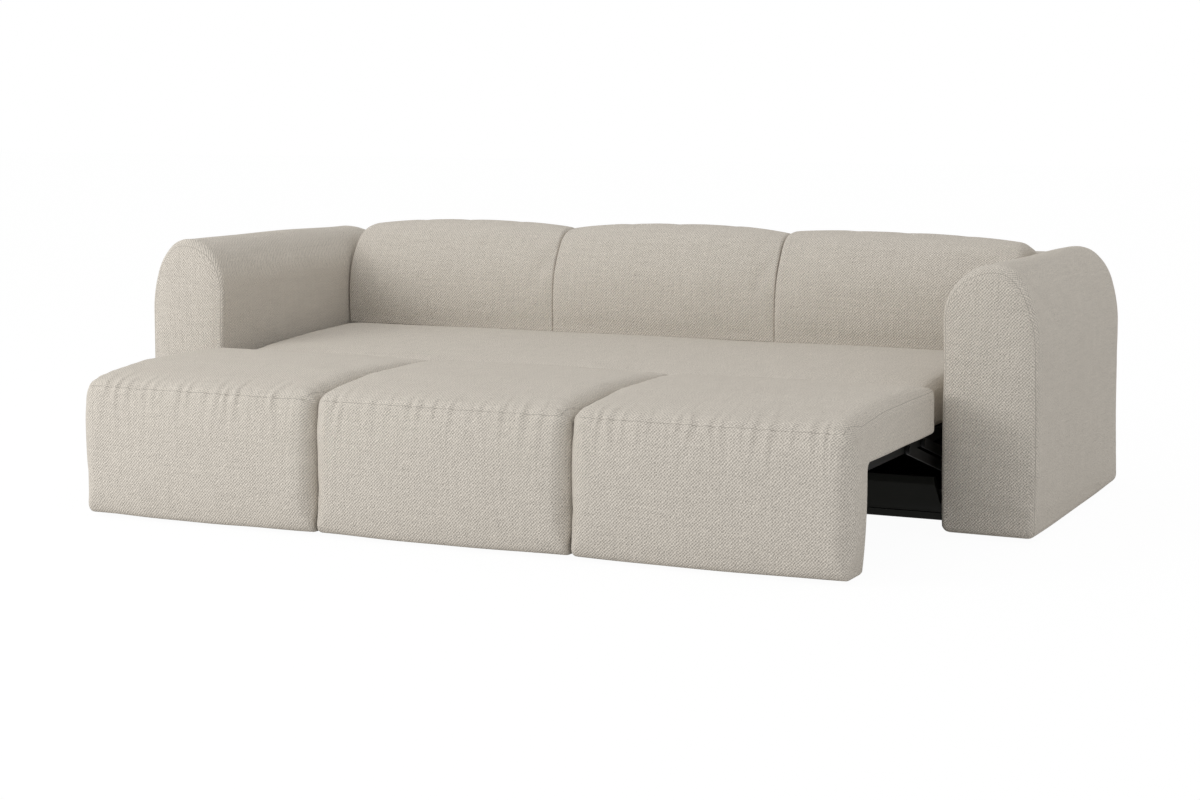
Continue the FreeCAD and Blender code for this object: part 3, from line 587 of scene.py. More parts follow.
def add_bump(tree, shader, height, distance, strength):
    bump = tree.nodes.new("ShaderNodeBump")
    bump.inputs["Distance"].default_value = distance
    bump.inputs["Strength"].default_value = strength
    tree.links.new(height, bump.inputs["Height"])
    tree.links.new(bump.outputs[0], shader.inputs["Normal"])


def upholstery_material(groups, look):
    material, tree, shader = bare_material("Beige nubby cloth")
    flat = tree.nodes.new("ShaderNodeUVMap")
    flat.uv_map = WEAVE_MAP
    place = tree.nodes.new("ShaderNodeTexCoord")
    weave = put_group(tree, groups["weave"], flat.outputs[0], Loop_Width=look.loop_width,
                      Loop_Height=look.loop_height, Unevenness=look.unevenness)
    shade = put_group(tree, groups["patch"], place.outputs["Object"], Size=1.8)
    # painted shade in the loop gaps and painted highlight on the loop tops, from the weave's height-bound tone
    cloth = blend_colours(tree, weave.outputs["Painted Shade And Tone"], toned(look.cloth_colour, look.gap_painted_shade),
                          toned(look.cloth_colour, look.loop_top_painted_highlight))
    worn = blend_colours(tree, maths(tree, "MULTIPLY", shade.outputs["Shade"], 0.16), cloth,
                         toned(look.cloth_colour, 0.82))
    tree.links.new(worn, shader.inputs["Base Color"])
    rough = maths(tree, "MULTIPLY_ADD", weave.outputs["Height"], -0.08, 0.95)
    tree.links.new(rough, shader.inputs["Roughness"])
    shader.inputs["Specular IOR Level"].default_value = 0.08
    shader.inputs["Sheen Weight"].default_value = 0.10
    shader.inputs["Sheen Roughness"].default_value = 0.5
    shader.inputs["Sheen Tint"].default_value = (0.86, 0.76, 0.62, 1)
    add_bump(tree, shader, weave.outputs["Height"], look.loop_relief, 0.7)
    return material


def seam_material(look):
    material, tree, shader = bare_material("Seam shadow and thread")
    place = tree.nodes.new("ShaderNodeTexCoord")
    fuzz = noise(tree, place.outputs["Object"], 240.0, 2.0)
    # the seam line is coloured far darker than the cloth: painted shadow of the sewn groove, together with the
    # thread
    tone = blend_colours(tree, fuzz.outputs["Fac"], toned(look.cloth_colour, 0.42),
                         toned(look.cloth_colour, 0.74))
    tree.links.new(tone, shader.inputs["Base Color"])
    shader.inputs["Roughness"].default_value = 0.95
    shader.inputs["Specular IOR Level"].default_value = 0.1
    add_bump(tree, shader, fuzz.outputs["Fac"], 0.0006, 0.5)
    return material


def hard_material(groups, name, dark, light, rough, stretch, metallic=0.0, contrast=1.0, relief=0.0002,
                  specular=0.5):
    """A painted, plated, moulded or timber finish from the grain and slow shade groups."""
    material, tree, shader = bare_material(name)
    place = tree.nodes.new("ShaderNodeTexCoord")
    grain = put_group(tree, groups["grain"], place.outputs["Object"], Stretch=stretch, Contrast=contrast)
    shade = put_group(tree, groups["patch"], place.outputs["Object"], Size=4.0)
    mixed = maths(tree, "MULTIPLY_ADD", shade.outputs["Shade"], 0.4,
                  maths(tree, "MULTIPLY", grain.outputs["Grain"], 0.6), clamp=True)
    tree.links.new(blend_colours(tree, mixed, dark + (1.0,), light + (1.0,)), shader.inputs["Base Color"])
    tree.links.new(maths(tree, "MULTIPLY_ADD", grain.outputs["Grain"], 0.18, rough - 0.09, clamp=True),
                   shader.inputs["Roughness"])
    shader.inputs["Metallic"].default_value = metallic
    shader.inputs["Specular IOR Level"].default_value = specular
    add_bump(tree, shader, grain.outputs["Grain"], relief, 0.4)
    return material


def shared(name, make):
    """The material or group of that name, made on first use."""
    found = bpy.data.materials.get(name) or bpy.data.node_groups.get(name)
    return found or make()


def effect_groups():
    return {"weave": shared("Nubby weave", weave_group), "patch": shared("Slow shade", patch_group),
            "grain": shared("Long grain", grain_group)}


def cloth_material(context):
    return shared("Beige nubby cloth", lambda: upholstery_material(effect_groups(), context.scene.sofa_cloth))


def seam_shadow_and_thread_material(context):
    return shared("Seam shadow and thread", lambda: seam_material(context.scene.sofa_cloth))


# Sizes ---------------------------------------------------------------------

class SofaForm(bpy.types.PropertyGroup):
    """Sizes of the soft forms."""
    settle: bpy.props.FloatProperty(
        name="Cloth travel", description="How far the simulated cloth may move from its pattern", default=0.005,
        unit="LENGTH")
    module_roll: bpy.props.FloatProperty(
        name="Seat edge roll", description="Radius of a seat block's side edges", default=0.040, unit="LENGTH")
    module_swell: bpy.props.FloatProperty(
        name="Seat swell", description="How far two seat blocks bulge towards each other", default=0.001,
        unit="LENGTH")
    side_swell: bpy.props.FloatProperty(
        name="Seat side swell", description="How far the outer seat blocks' free sides bulge", default=0.0015,
        unit="LENGTH")
    pucker_height: bpy.props.FloatProperty(
        name="Pucker height", description="Height of the small folds that cross the seat seam", default=0.0048,
        unit="LENGTH")
    seam_depth: bpy.props.FloatProperty(
        name="Seam depth", description="How far the cloth is drawn in at a seam", default=0.0014, unit="LENGTH")
    seam_radius: bpy.props.FloatProperty(
        name="Seam line radius", description="Half the width of the sewn line", default=0.0008, unit="LENGTH")
    cushion_roll: bpy.props.FloatProperty(
        name="Back cushion roll", description="Radius of a back cushion's side edges", default=0.006,
        unit="LENGTH")
    arm_roll: bpy.props.FloatProperty(
        name="Arm front roll", description="Radius of an arm's upper front edge", default=0.034, unit="LENGTH")


class SofaCloth(bpy.types.PropertyGroup):
    """Colours and weave of the cover."""
    cloth_colour: bpy.props.FloatVectorProperty(
        name="Cloth colour", description="Base colour of the cover", size=3, subtype="COLOR",
        default=(0.595, 0.551, 0.489), min=0, max=1)
    # painted highlight on the loop tops and painted shade in the gaps between loops, as shares of the cloth
    # colour
    loop_top_painted_highlight: bpy.props.FloatProperty(
        name="Loop light", description="Brightness of the loops' tops", default=1.45, subtype="FACTOR")
    gap_painted_shade: bpy.props.FloatProperty(
        name="Loop dark", description="Brightness of the gaps between loops", default=0.50, subtype="FACTOR")
    loop_width: bpy.props.FloatProperty(
        name="Loop width", description="Width of one repeat of the weave", default=0.0083, unit="LENGTH")
    loop_height: bpy.props.FloatProperty(
        name="Loop height", description="Height of one repeat of the weave", default=0.0086, unit="LENGTH")
    unevenness: bpy.props.FloatProperty(
        name="Unevenness", description="How far loops stray from their rows", default=0.0016, unit="LENGTH")
    loop_relief: bpy.props.FloatProperty(
        name="Loop relief", description="Height of the loops", default=0.0028, unit="LENGTH")


class SofaStudio(bpy.types.PropertyGroup):
    """Camera and light."""
    camera_place: bpy.props.FloatVectorProperty(
        name="Camera place", description="Where the camera stands", size=3, subtype="XYZ_LENGTH",
        default=(2.7695, -5.8691, 1.1377))
    camera_turn: bpy.props.FloatProperty(
        name="Camera turn", description="Turn to the left, in degrees", default=24.949)
    camera_tilt: bpy.props.FloatProperty(
        name="Camera tilt", description="Tilt downwards, in degrees", default=7.611)
    camera_lens: bpy.props.FloatProperty(
        name="Lens", description="Focal length in millimetres on a 36 mm sensor", default=69.136)
    sky_strength: bpy.props.FloatProperty(
        name="Room light", description="Strength of the even light from all sides", default=0.775)
    key_power: bpy.props.FloatProperty(
        name="Key light", description="Power of the large soft light at the front left", default=142.0,
        unit="POWER")
    floor_shadow: bpy.props.FloatProperty(
        name="Floor shadow", description="How much of its shading the floor shows", default=0.05,
        subtype="FACTOR")


# Pieces --------------------------------------------------------------------

def node_span(node, axis):
    low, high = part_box(node)
    return low[axis], high[axis]


def dome(u, power=2.4):
    return max(0.0, 1 - abs(u) ** power)


def seat_rings(counts):
    """Outlines in (y, z) of a seat block at its side and at its middle."""
    front, rear = node_span("seat_module_1", 1)
    panel_rear = node_span("seat_frame", 1)[0] - 0.0203     # rear of the upright part, clear of the frame
    under = node_span("seat_panel_1", 2)[1] + 0.0003        # on top of the board
    low = 0.0085                                            # hem over the floor
    marks = [(front, low), (rear, 0.390), (rear, under), (panel_rear, low)]
    side = [(front + 0.005, low, 0.036), (front, low + 0.110, WIDE), (front + 0.001, 0.280, WIDE),
            (front + 0.010, 0.372, 0.052), (front + 0.105, 0.386, 0.20), (front + 0.260, 0.400, 0.45),
            (front + 0.500, 0.400, 0.40), (rear, 0.391, 0.022), (rear, under, 0.012),
            (panel_rear, under, 0.020), (panel_rear, low, 0.012)]
    middle = [(front + 0.002, low, 0.020), (front - 0.003, low + 0.110, WIDE), (front - 0.003, 0.285, WIDE),
              (front + 0.006, 0.374, 0.052), (front + 0.105, 0.388, 0.20), (front + 0.260, 0.402, 0.45),
              (front + 0.480, 0.402, 0.40), (rear, 0.396, 0.022), (rear, under, 0.012),
              (panel_rear, under, 0.020), (panel_rear, low, 0.012)]
    return ring_of(side, marks, counts), ring_of(middle, marks, counts)


def seat_rolls(ring, counts, roll):
    """How far each place of a seat block's outline rolls over: most on the upper front, least underneath."""
    front = counts[0]
    place = np.arange(len(ring)) / front
    wanted = np.interp(place, [0.0, 0.04, 0.22, 0.45, 0.85, 0.97, 1.0],
                       [0.030, 0.036, roll, roll, 0.8 * roll, 0.018, 0.010])
    wanted[front:] = 0.010
    return soft_edge(ring, wanted)


def side_pinch(ring):
    """How far a seat block's sides are drawn in: least at half the front's height."""
    height = np.clip((ring[:, 1] - 0.02) / 0.36, 0, 1)
    depth = np.clip((ring[:, 0] - ring[:, 0].min()) / 0.30, 0, 1)
    return 0.010 * np.abs(2 * height - 1.1) ** 2.2 * (1 - 0.7 * depth)


class SOFABED_OT_seat_blocks(bpy.types.Operator):
    """Adds the three seat blocks with their seams and puckers"""
    bl_idname = "sofabed.seat_blocks"
    bl_label = "Seat blocks"

    def execute(self, context):
        form = context.scene.sofa_form
        cloth, thread = cloth_material(context), seam_shadow_and_thread_material(context)
        places, moves = self.settled(form)
        for i in range(SEATS):
            node = "seat_module_%d" % (i + 1)
            low, high = node_span(node, 0)
            block, side_ring = self.block(form, i, SEAT_COUNTS, SEAT_STEPS, SEAT_ROLL_STEPS)
            mesh = block.mesh(node)
            path = seat_seam(block, side_ring)
            turned = np.array([-1.0 if i == 1 else 1.0, 1.0, 1.0])
            carry(mesh, places * turned + np.array([(low + high) / 2, 0, 0]), moves * turned)
            total = lengths_along(path)[-1]
            sew_in(mesh, path, form.seam_depth, 0.006)
            pucker(mesh, path, 11 + i, form.pucker_height, front_corner_places(path), total)
            soft_waves(mesh, 31 + i, 0.0008, 0.30)
            finish_piece("seat_block_%d" % (i + 1), mesh, cloth, "seat_unit", [node])
            # the seam line carries painted seam shadow as well as the thread
            line = seam_thread("seat_seam_%d" % (i + 1), mesh, path, form.seam_radius, thread)
            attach(line, "seat_unit")
        return {"FINISHED"}

    def block(self, form, index, counts, steps, roll_steps):
        """One seat block as a grid: outer blocks swell on their free side, inner sides stay close."""
        low, high = node_span("seat_module_%d" % (index + 1), 0)
        side_ring, middle_ring = seat_rings(counts)
        roll = seat_rolls(side_ring, counts, form.module_roll)
        drawn = side_pinch(side_ring)
        pinch = [drawn - form.side_swell if index == outer else 0.35 * drawn for outer in (0, SEATS - 1)]
        block = SoftBlock(lambda u: side_ring + (middle_ring - side_ring) * dome(u), low, high, counts, steps,
                          (roll, roll), roll_steps, (form.module_swell, form.module_swell), pinch=pinch)
        return block, side_ring

    def settled(self, form):
        """How the middle block's cloth swells, held at the hem, the seam and the hard edges."""
        mesh = self.block(form, 1, (56, 10, 56, 10), 62, 4)[0].mesh("seat_trial")
        co, _ = mesh_arrays(mesh)
        side, depth, height = np.abs(co[:, 0]), co[:, 1], co[:, 2]
        front, high = depth.min(), co[:, 0].max()
        hem, rear = height < 0.045, depth > -0.26
        inside = (depth > front + 0.10) & (height < 0.36)
        seam = (np.abs(height - SEAM_HEIGHT) < 0.006) & (depth < front + 0.10)
        held = np.where(hem | rear | inside | seam, 1.0, 0.0)
        held[(height > 0.345) & ((depth < front + 0.05) | (side > high - 0.03)) & (held < 1)] = 0.5
        return simulated_lift(mesh, held, form.settle)


def seat_seam(block, ring):
    """The seam round the top panel: across the front at one height, then back along both sides."""
    half = block.counts[0] // 2
    front_i = float(np.interp(SEAM_HEIGHT, ring[:half, 1], np.arange(half)))
    last = len(block.grid) - 1
    edge = SEAT_ROLL_STEPS * (1 - 62 / 90)      # 62 degrees over the side edge
    side = [(edge, i) for i in np.linspace(block.counts[0] - 1.0, front_i + SEAM_DROP, 60)]
    corner = [(edge + k * 0.30, front_i + SEAM_DROP * math.cos(k / 9 * math.pi / 2)) for k in range(1, 10)]
    across = [(s, front_i) for s in np.linspace(edge + 3.2, last - edge - 3.2, 120)]
    back = [(last - s, i) for s, i in (side + corner)[::-1]]
    return block.path(*zip(*side + corner + across + back))


def front_corner_places(path):
    """How far along the seam its two front corners lie."""
    along = lengths_along(path)
    front = path[:, 1].min()
    near = np.where(path[:, 1] < front + 0.02)[0]
    return [along[near[0]], along[near[-1]]]


class SOFABED_OT_sleeping_pad(bpy.types.Operator):
    """Adds the sleeping pad behind the seat blocks"""
    bl_idname = "sofabed.sleeping_pad"
    bl_label = "Sleeping pad"

    def execute(self, context):
        form = context.scene.sofa_form
        low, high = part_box("sleeping_pad")
        front, rear, under = low.y, high.y, low.z
        marks = [(front, 0.380), (rear, 0.392), (rear, under), (front, under)]

        def ring(counts, lift):
            """The pad's outline in (y, z), its crown low enough for the folded seat frame."""
            corners = [(front, under, 0.012), (front, 0.370 + lift * 0.3, 0.035),
                       (front + 0.15, 0.387 + lift, 0.35), (front + 0.36, 0.400 + lift, 0.9),
                       (front + 0.62, 0.4085 + lift, 0.3),
                       (rear - 0.085, 0.4025, 0.12), (rear - 0.052, 0.3996, 0.05), (rear - 0.020, 0.3992, 0.05),
                       (rear, 0.3988, 0.005), (rear, under, 0.012)]
            return ring_of(corners, marks, counts)

        def block(counts, steps, roll_steps):
            side, middle = ring(counts, 0.0), ring(counts, 0.003)
            roll = soft_edge(side, 0.022)
            return SoftBlock(lambda u: side + (middle - side) * dome(u, 6.0), low.x, high.x, counts, steps,
                             (roll, roll), roll_steps).mesh("sleeping_pad")

        trial = block((40, 8, 40, 8), 100, 3)
        co, _ = mesh_arrays(trial)
        held = np.where((co[:, 2] < 0.36) | (co[:, 1] > rear - 0.06) | (co[:, 1] < front + 0.02), 1.0, 0.0)
        places, moves = simulated_lift(trial, held, form.settle)
        mesh = block((64, 10, 64, 10), 130, 5)
        carry(mesh, places, moves)
        soft_waves(mesh, 51, 0.0010, 0.45, lambda co: np.clip((rear - 0.04 - co[:, 1]) / 0.10, 0, 1))
        finish_piece("sleeping_pad_cover", mesh, cloth_material(context), "pad_unit", ["sleeping_pad"])
        return {"FINISHED"}


class SOFABED_OT_back_cushions(bpy.types.Operator):
    """Adds the three back cushions"""
    bl_idname = "sofabed.back_cushions"
    bl_label = "Back cushions"

    def execute(self, context):
        form = context.scene.sofa_form
        low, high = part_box("back_cushion_1")
        front, rear, under = low.y + 0.0035, high.y, low.z
        lip = under - 0.0093
        marks = [(front, lip), (front + 0.055, 0.712), (rear, 0.700), (rear, under)]

        def ring(counts, lift, out):
            """A cushion's outline in (y, z), with points close to its sharp front lip on the pad."""
            corners = [(front + 0.003, lip, 0.0015), (front - out * 0.7, under + 0.095, WIDE),
                       (front + 0.010 - out, 0.595, 0.22), (front + 0.072 - out * 0.4, 0.706 + lift, 0.080),
                       (rear - 0.110, 0.717 + lift * 1.1, 0.16), (rear - 0.002, 0.685 + lift * 0.6, 0.045),
                       (rear, under + 0.001, 0.012), (front + 0.080, under + 0.001, 0.05),
                       (front + 0.026, lip, 0.05)]
            outline = ring_of(corners, marks, counts)
            for beside, share in ((-1, 0.80), (1, 0.60)):
                outline[beside] += share * (outline[0] - outline[beside])
            return outline

        def block(i, counts, steps, roll_steps, lift, lean):
            left, right = node_span("back_cushion_%d" % (i + 1), 0)
            rest, full = ring(counts, 0.0, 0.0), ring(counts, lift, 0.006)
            tall = np.clip((rest[:, 1] - under) / 0.30, 0, 1)
            extra = [0.030 * tall ** 4 if i == end else 0.010 * tall ** 6 for end in (0, SEATS - 1)]
            rolls = [soft_edge(rest, form.cushion_roll + more) for more in extra]
            tilt = np.stack([0 * tall, lean * tall ** 3], 1)
            pinch = [0.0 if i == end else -0.0015 for end in (0, SEATS - 1)]
            return SoftBlock(lambda u: rest + (full - rest) * dome(u, 2.6) + tilt * u, left, right, counts,
                             steps, rolls, roll_steps, pinch=pinch).mesh("back_cushion")

        trial = block(1, (34, 18, 34, 18), 48, 3, 0.021, 0.0)
        co, _ = mesh_arrays(trial)
        held = np.where((co[:, 2] < under + 0.02) | (co[:, 1] > rear - 0.05), 1.0, 0.0)
        held[(np.abs(co[:, 0]) > np.abs(co[:, 0]).max() - 0.012) & (held < 1)] = 0.8
        places, moves = simulated_lift(trial, held, form.settle)
        for i, (lift, lean) in enumerate(((0.017, 0.002), (0.022, 0.001), (0.013, -0.008))):    # left to right
            node = "back_cushion_%d" % (i + 1)
            mesh = block(i, (40, 22, 40, 22), 56, 5, lift, lean)
            carry(mesh, places + np.array([sum(node_span(node, 0)) / 2, 0, 0]), moves)
            soft_waves(mesh, 71 + i, 0.0008, 0.33, lambda co: np.clip((co[:, 2] - under - 0.01) / 0.08, 0, 1))
            finish_piece("back_cushion_cover_%d" % (i + 1), mesh, cloth_material(context), "base", [node])
        return {"FINISHED"}


class SOFABED_OT_arms(bpy.types.Operator):
    """Adds the two arched arms with their front seams"""
    bl_idname = "sofabed.arms"
    bl_label = "Arms"

    def execute(self, context):
        form = context.scene.sofa_form
        cloth, thread = cloth_material(context), seam_shadow_and_thread_material(context)
        low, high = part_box("arm_cover_right")
        counts = (60, 28, 60, 28)
        block = self.block(form, low, high, counts, 84, ARM_ROLL_STEPS)
        trial = self.block(form, low, high, (44, 20, 44, 20), 66, 4).mesh("arm_trial")
        co, _ = mesh_arrays(trial)
        held = np.where((co[:, 2] < 0.05) | (co[:, 1] < low.y + 0.03) | (co[:, 0] < low.x + 0.012), 1.0, 0.0)
        held[(co[:, 1] < low.y + 0.002) & (co[:, 2] > 0.08)] = 0.0
        places, moves = simulated_lift(trial, held, form.settle * 0.7)
        for side, sign in (("right", 1), ("left", -1)):
            node = "arm_cover_" + side
            mesh = block.mesh(node)
            ring_places = np.linspace(0.5, sum(counts[:3]) - 0.5, 260)
            height = np.interp(ring_places, np.arange(sum(counts)), block.grid[block.middle, :, 2])
            turn = np.interp(height, [0.05, 0.45, 0.60], [28, 60, 70])
            path = block.path(ARM_ROLL_STEPS * (1 - turn / 90), ring_places)
            carry(mesh, places, moves)
            sew_in(mesh, path, form.seam_depth * 0.6, 0.005)
            soft_waves(mesh, 91 if sign > 0 else 92, 0.0010, 0.40)
            # the seam line carries painted seam shadow as well as the thread
            line = seam_thread("arm_seam_" + side, mesh, path, form.seam_radius, thread)
            if sign < 0:
                for piece in (mesh, line.data):
                    flip_across(piece)
            finish_piece("arm_" + side, mesh, cloth, "base", [node])
            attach(line, "base")
        return {"FINISHED"}

    def block(self, form, low, high, counts, steps, roll_steps):
        """The right arm as a grid: rolled at the front, drawn in to a rounder arch at the rear."""
        ring = self.arch(counts, low.x, high.x + 0.007, high.z, 0.222, 0.019)
        rear_ring = self.arch(counts, low.x, high.x - 0.006, high.z - 0.005, 0.224, 0.020, 0.008)
        normal = -inward_normals(ring)
        outward, upward = normal[:, 0], normal[:, 1]
        wanted = (form.arm_roll * np.maximum(upward, 0) ** 2 + 0.019 * np.maximum(outward, 0) ** 2
                  + 0.014 * np.maximum(-outward, 0) ** 2 + 0.018 * np.maximum(-upward, 0) ** 2)
        front_roll = soft_edge(ring, wanted)
        side_in, top_in, inner_in, foot_in = 0.172, 0.185, 0.040, 0.026

        def shares(section):
            return (np.clip((section[:, 0] - low.x) / (high.x - low.x), 0, 1),
                    np.clip((section[:, 1] - FLOOR_GAP) / (high.z - FLOOR_GAP), 0, 1))

        across, up = shares(ring)
        crown = np.clip((up - 0.72) / 0.28, 0, 1) ** 2

        def fullness(up):
            """The rear corner is tighter towards the foot."""
            return 0.72 + 0.28 * np.clip(up / 0.55, 0, 1) ** 0.7

        rear_roll = inner_in + (side_in * fullness(up) - inner_in) * across ** 1.5
        rear_roll = rear_roll * (1 - crown) + top_in * crown

        def draw_in(section):
            across, up = shares(section)
            return np.stack([inner_in * (1 - across) - side_in * fullness(up) * across,
                             foot_in * (1 - up) ** 4 - top_in * up ** 2], 1)

        def section(u):
            """The outline at u from -1 in front to 1 behind; its front leans in over the seat."""
            lip = 0.0030 + 0.0050 * np.clip((ring[:, 1] - 0.43) / 0.11, 0, 1)
            lip = lip * max(0.0, 1 - (u + 1) / 0.35) * np.clip((high.x - 0.12 - ring[:, 0]) / 0.12, 0, 1) ** 2
            late = float(np.clip((u + 0.3) / 1.1, 0, 1))
            late = late * late * (3 - 2 * late)
            return ring + (rear_ring - ring) * late - np.stack([lip, 0 * lip], 1)

        return SoftBlock(section, low.y, high.y, counts, steps, (front_roll, rear_roll), roll_steps,
                         (0.004, 0.003), place=lambda t, a, b: np.stack([a + 0 * t, t + 0 * a, b + 0 * t], -1),
                         end_pull=draw_in)

    def arch(self, counts, inner, outer, top, shoulder, foot, flare=0.0):
        """The arm's outline in (x, z): upright sides that lean into a tall, soft arch, over a flared foot."""
        under = FLOOR_GAP
        middle = inner + 0.52 * (outer - inner)
        corners = [(inner + 0.001, under, 0.022), (inner, 0.28, WIDE)]
        for centre, reach, rise in ((middle, inner - middle, 0.140), (middle, outer - middle, shoulder)):
            turns = (15, 45, 75) if reach < 0 else (75, 45, 15)
            for turn in turns:
                angle, outside = math.radians(turn), math.cos(math.radians(15))
                corners.append((centre + reach * math.cos(angle) / outside,
                                top - rise + rise * math.sin(angle) / outside, WIDE))
        corners += [(outer + 0.002, 0.24, WIDE), (outer - 0.001 + flare, under, foot)]
        marks = [(inner, under), (inner + 0.035, top - 0.045), (outer - 0.035, top - 0.050), (outer, under)]
        return ring_of(corners, marks, counts)


def flip_across(mesh):
    """Mirrors a mesh across the middle of the sofa."""
    work = bmesh.new()
    work.from_mesh(mesh)
    for vert in work.verts:
        vert.co.x = -vert.co.x
    bmesh.ops.reverse_faces(work, faces=work.faces)
    work.to_mesh(mesh)
    work.free()


class SOFABED_OT_back_cover(bpy.types.Operator):
    """Adds the cover of the backrest between the arms"""
    bl_idname = "sofabed.back_cover"
    bl_label = "Back cover"

    def execute(self, context):
        low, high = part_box("back_cover")
        counts = (60, 10, 60, 10)
        front, rear, under, top = low.y, high.y, FLOOR_GAP, high.z - 0.022
        corners = [(front, under, 0.004), (front, top - 0.004, 0.022), (rear - 0.035, top, 0.03),
                   (rear - 0.002, top - 0.045, 0.06), (rear, (under + top) / 2, WIDE),
                   (rear - 0.006, under, 0.020)]
        marks = [(front, under), (front, top), (rear, top), (rear, under)]
        ring = ring_of(corners, marks, counts)
        roll = soft_edge(ring, 0.006)
        mesh = SoftBlock(lambda u: ring, low.x, high.x, counts, 120, (roll, roll), 2).mesh("back_cover")
        soft_waves(mesh, 61, 0.0008, 0.5)
        finish_piece("back_cover_cloth", mesh, cloth_material(context), "base", ["back_cover"],
                     levels=0)
        return {"FINISHED"}


# slot: material name, dark and light colour, roughness, and what else hard_material takes
FINISHES = {
    "black_board": ("Black stained board", (0.006, 0.0063, 0.0052), (0.019, 0.0195, 0.016), 0.66,
                    dict(stretch=(4.0, 60.0, 60.0), contrast=1.6, specular=0.22)),
    "black_steel": ("Black powder coat", (0.003, 0.003, 0.003), (0.009, 0.009, 0.009), 0.62,
                    dict(stretch=(900.0, 900.0, 900.0), relief=0.0001, specular=0.15)),
    "zinc_steel": ("Zinc plate", (0.42, 0.42, 0.44), (0.62, 0.62, 0.64), 0.34,
                   dict(metallic=1.0, stretch=(150.0, 150.0, 900.0), relief=0.00005)),
    "black_plastic": ("Moulded plastic", (0.012, 0.012, 0.012), (0.024, 0.024, 0.024), 0.6,
                      dict(stretch=(500.0, 500.0, 500.0), relief=0.0001, specular=0.4)),
    "timber": ("Bare timber", (0.44, 0.30, 0.17), (0.66, 0.50, 0.33), 0.66,
               dict(stretch=(3.0, 40.0, 40.0), contrast=2.2, relief=0.0003, specular=0.3)),
    "webbing": ("Elastic webbing", (0.08, 0.08, 0.08), (0.26, 0.26, 0.26), 0.9,
                dict(stretch=(20.0, 20.0, 420.0), contrast=2.4, relief=0.0006, specular=0.2)),
}


class SOFABED_OT_hard_finishes(bpy.types.Operator):
    """Gives boards, steel, timber and plastic their finishes"""
    bl_idname = "sofabed.hard_finishes"
    bl_label = "Hard finishes"

    def execute(self, context):
        groups = effect_groups()
        finishes = {slot: hard_material(groups, name, dark, light, rough, **more)
                    for slot, (name, dark, light, rough, more) in FINISHES.items()}
        slots = {entry["node"]: entry["material_slot"] for entry in frame["record"]["subparts"]}
        for node, obj in frame["nodes"].items():
            finish = finishes.get(slots.get(node))
            if finish is not None:
                obj.data.materials.clear()
                obj.data.materials.append(finish)
        return {"FINISHED"}


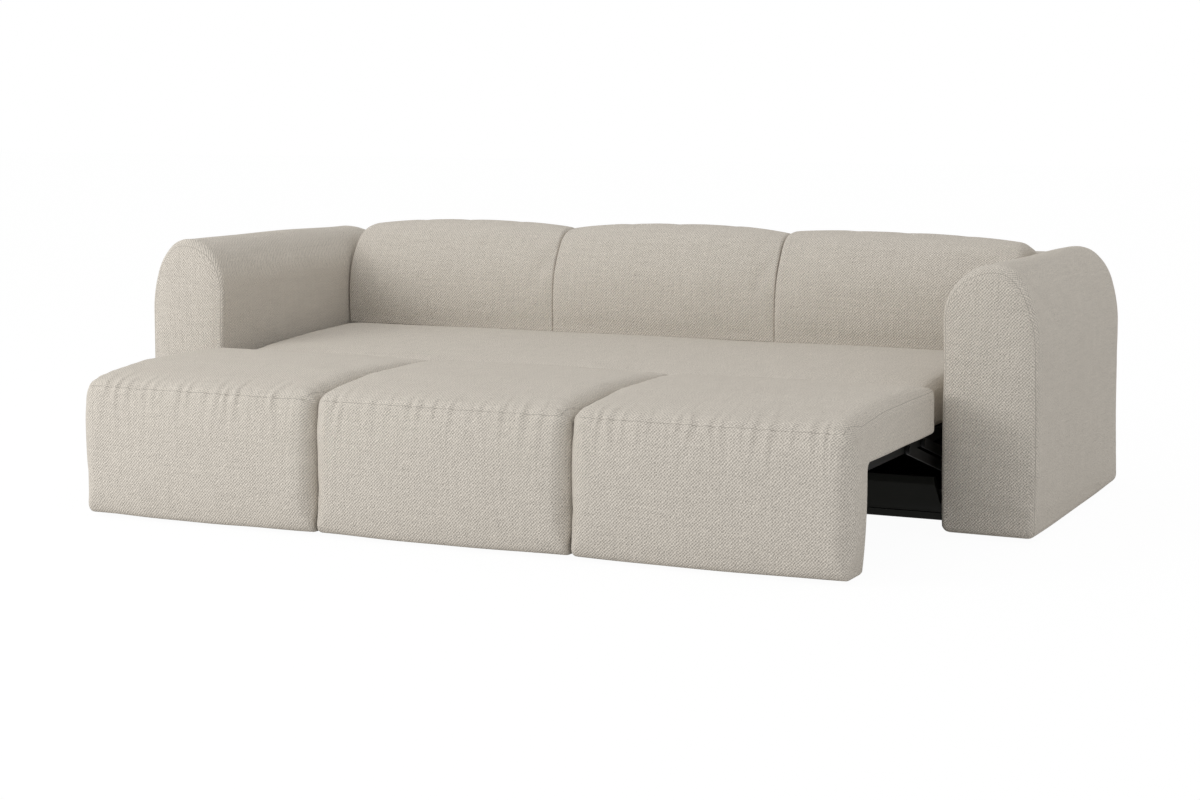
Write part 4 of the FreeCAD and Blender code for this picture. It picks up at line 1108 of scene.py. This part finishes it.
class SOFABED_OT_studio(bpy.types.Operator):
    """Adds the floor, the lights and the camera"""
    bl_idname = "sofabed.studio"
    bl_label = "Studio"

    def execute(self, context):
        studio = context.scene.sofa_studio
        self.add_floor(studio)
        self.light_room(context, studio)
        self.add_camera(context, studio)
        context.scene.view_settings.view_transform = "Standard"
        return {"FINISHED"}

    def add_floor(self, studio):
        mesh = bpy.data.meshes.new("studio_floor")
        half = 30.0
        mesh.from_pydata([(-half, -half, 0), (half, -half, 0), (half, half, 0), (-half, half, 0)], [],
                         [(0, 1, 2, 3)])
        floor = bpy.data.objects.new("studio_floor", mesh)
        bpy.context.scene.collection.objects.link(floor)
        material, tree, shader = bare_material("Pale floor")
        place = tree.nodes.new("ShaderNodeTexCoord")
        fine = noise(tree, place.outputs["Object"], 6.0, 4.0)
        tree.links.new(blend_colours(tree, fine.outputs["Fac"], (0.80, 0.80, 0.80, 1), (0.84, 0.84, 0.84, 1)),
                       shader.inputs["Base Color"])
        shader.inputs["Roughness"].default_value = 0.9
        glow = tree.nodes.new("ShaderNodeEmission")
        glow.inputs["Color"].default_value = (1, 1, 1, 1)
        glow.inputs["Strength"].default_value = 1.015
        rays = tree.nodes.new("ShaderNodeLightPath")
        seen = maths(tree, "MAXIMUM", rays.outputs["Is Camera Ray"],
                     maths(tree, "MAXIMUM", rays.outputs["Is Glossy Ray"], rays.outputs["Is Transmission Ray"]))
        mix = tree.nodes.new("ShaderNodeMixShader")
        tree.links.new(maths(tree, "MULTIPLY", seen, 1 - studio.floor_shadow), mix.inputs[0])
        tree.links.new(shader.outputs[0], mix.inputs[1])
        tree.links.new(glow.outputs[0], mix.inputs[2])
        tree.links.new(mix.outputs[0], tree.nodes["Material Output"].inputs["Surface"])
        mesh.materials.append(material)

    def light_room(self, context, studio):
        world = bpy.data.worlds.new("Studio room")
        context.scene.world = world
        world.use_nodes = True
        tree = world.node_tree
        tree.nodes.clear()
        rays = tree.nodes.new("ShaderNodeLightPath")
        seen = maths(tree, "MAXIMUM", rays.outputs["Is Camera Ray"], rays.outputs["Is Transmission Ray"])
        mix = tree.nodes.new("ShaderNodeMixShader")
        tree.links.new(seen, mix.inputs[0])
        for k, strength in ((1, studio.sky_strength), (2, 1.0)):
            white = tree.nodes.new("ShaderNodeBackground")
            white.inputs["Color"].default_value = (1, 1, 1, 1)
            white.inputs["Strength"].default_value = strength
            tree.links.new(white.outputs[0], mix.inputs[k])
        tree.links.new(mix.outputs[0], tree.nodes.new("ShaderNodeOutputWorld").inputs["Surface"])
        key = bpy.data.lights.new("Key softbox", "AREA")
        key.shape = "RECTANGLE"
        key.size, key.size_y = 2.6, 2.2
        key.energy = studio.key_power
        lamp = bpy.data.objects.new("Key softbox", key)
        lamp.location = (-4.2, -4.2, 2.9)
        lamp.rotation_euler = (Vector((0.1, 0.0, 0.35)) - lamp.location).to_track_quat("-Z", "Y").to_euler()
        context.scene.collection.objects.link(lamp)

    def add_camera(self, context, studio):
        data = bpy.data.cameras.new("Studio camera")
        data.sensor_fit = "HORIZONTAL"
        data.sensor_width = 36.0
        data.lens = studio.camera_lens
        data.clip_start, data.clip_end = 0.05, 200.0
        camera = bpy.data.objects.new("Studio camera", data)
        camera.location = studio.camera_place
        camera.rotation_euler = (math.radians(90 - studio.camera_tilt), 0, math.radians(studio.camera_turn))
        context.scene.collection.objects.link(camera)
        context.scene.camera = camera


OPERATORS = (SOFABED_OT_studio, SOFABED_OT_hard_finishes, SOFABED_OT_seat_blocks, SOFABED_OT_sleeping_pad,
             SOFABED_OT_back_cushions, SOFABED_OT_arms, SOFABED_OT_back_cover)


class SOFABED_PT_sidebar(bpy.types.Panel):
    """Sofa bed pieces in the sidebar"""
    bl_idname = "SOFABED_PT_sidebar"
    bl_label = "Sofa bed"
    bl_space_type = "VIEW_3D"
    bl_region_type = "UI"
    bl_category = "Sofa bed"

    def draw(self, context):
        layout = self.layout
        for group in (context.scene.sofa_form, context.scene.sofa_cloth, context.scene.sofa_studio):
            column = layout.column()
            for name in group.__annotations__:
                column.prop(group, name)
        for operator in OPERATORS:
            layout.operator(operator.bl_idname)


CLASSES = (SofaForm, SofaCloth, SofaStudio) + OPERATORS + (SOFABED_PT_sidebar,)


def register():
    for item in CLASSES:
        bpy.utils.register_class(item)
    bpy.types.Scene.sofa_form = bpy.props.PointerProperty(type=SofaForm)
    bpy.types.Scene.sofa_cloth = bpy.props.PointerProperty(type=SofaCloth)
    bpy.types.Scene.sofa_studio = bpy.props.PointerProperty(type=SofaStudio)


def unregister():
    del bpy.types.Scene.sofa_studio
    del bpy.types.Scene.sofa_cloth
    del bpy.types.Scene.sofa_form
    for item in reversed(CLASSES):
        bpy.utils.unregister_class(item)


def main():
    register()
    bpy.ops.sofabed.studio()
    bpy.ops.sofabed.hard_finishes()
    bpy.ops.sofabed.seat_blocks()
    bpy.ops.sofabed.sleeping_pad()
    bpy.ops.sofabed.back_cushions()
    bpy.ops.sofabed.arms()
    bpy.ops.sofabed.back_cover()


if __name__ == "__main__":
    main()
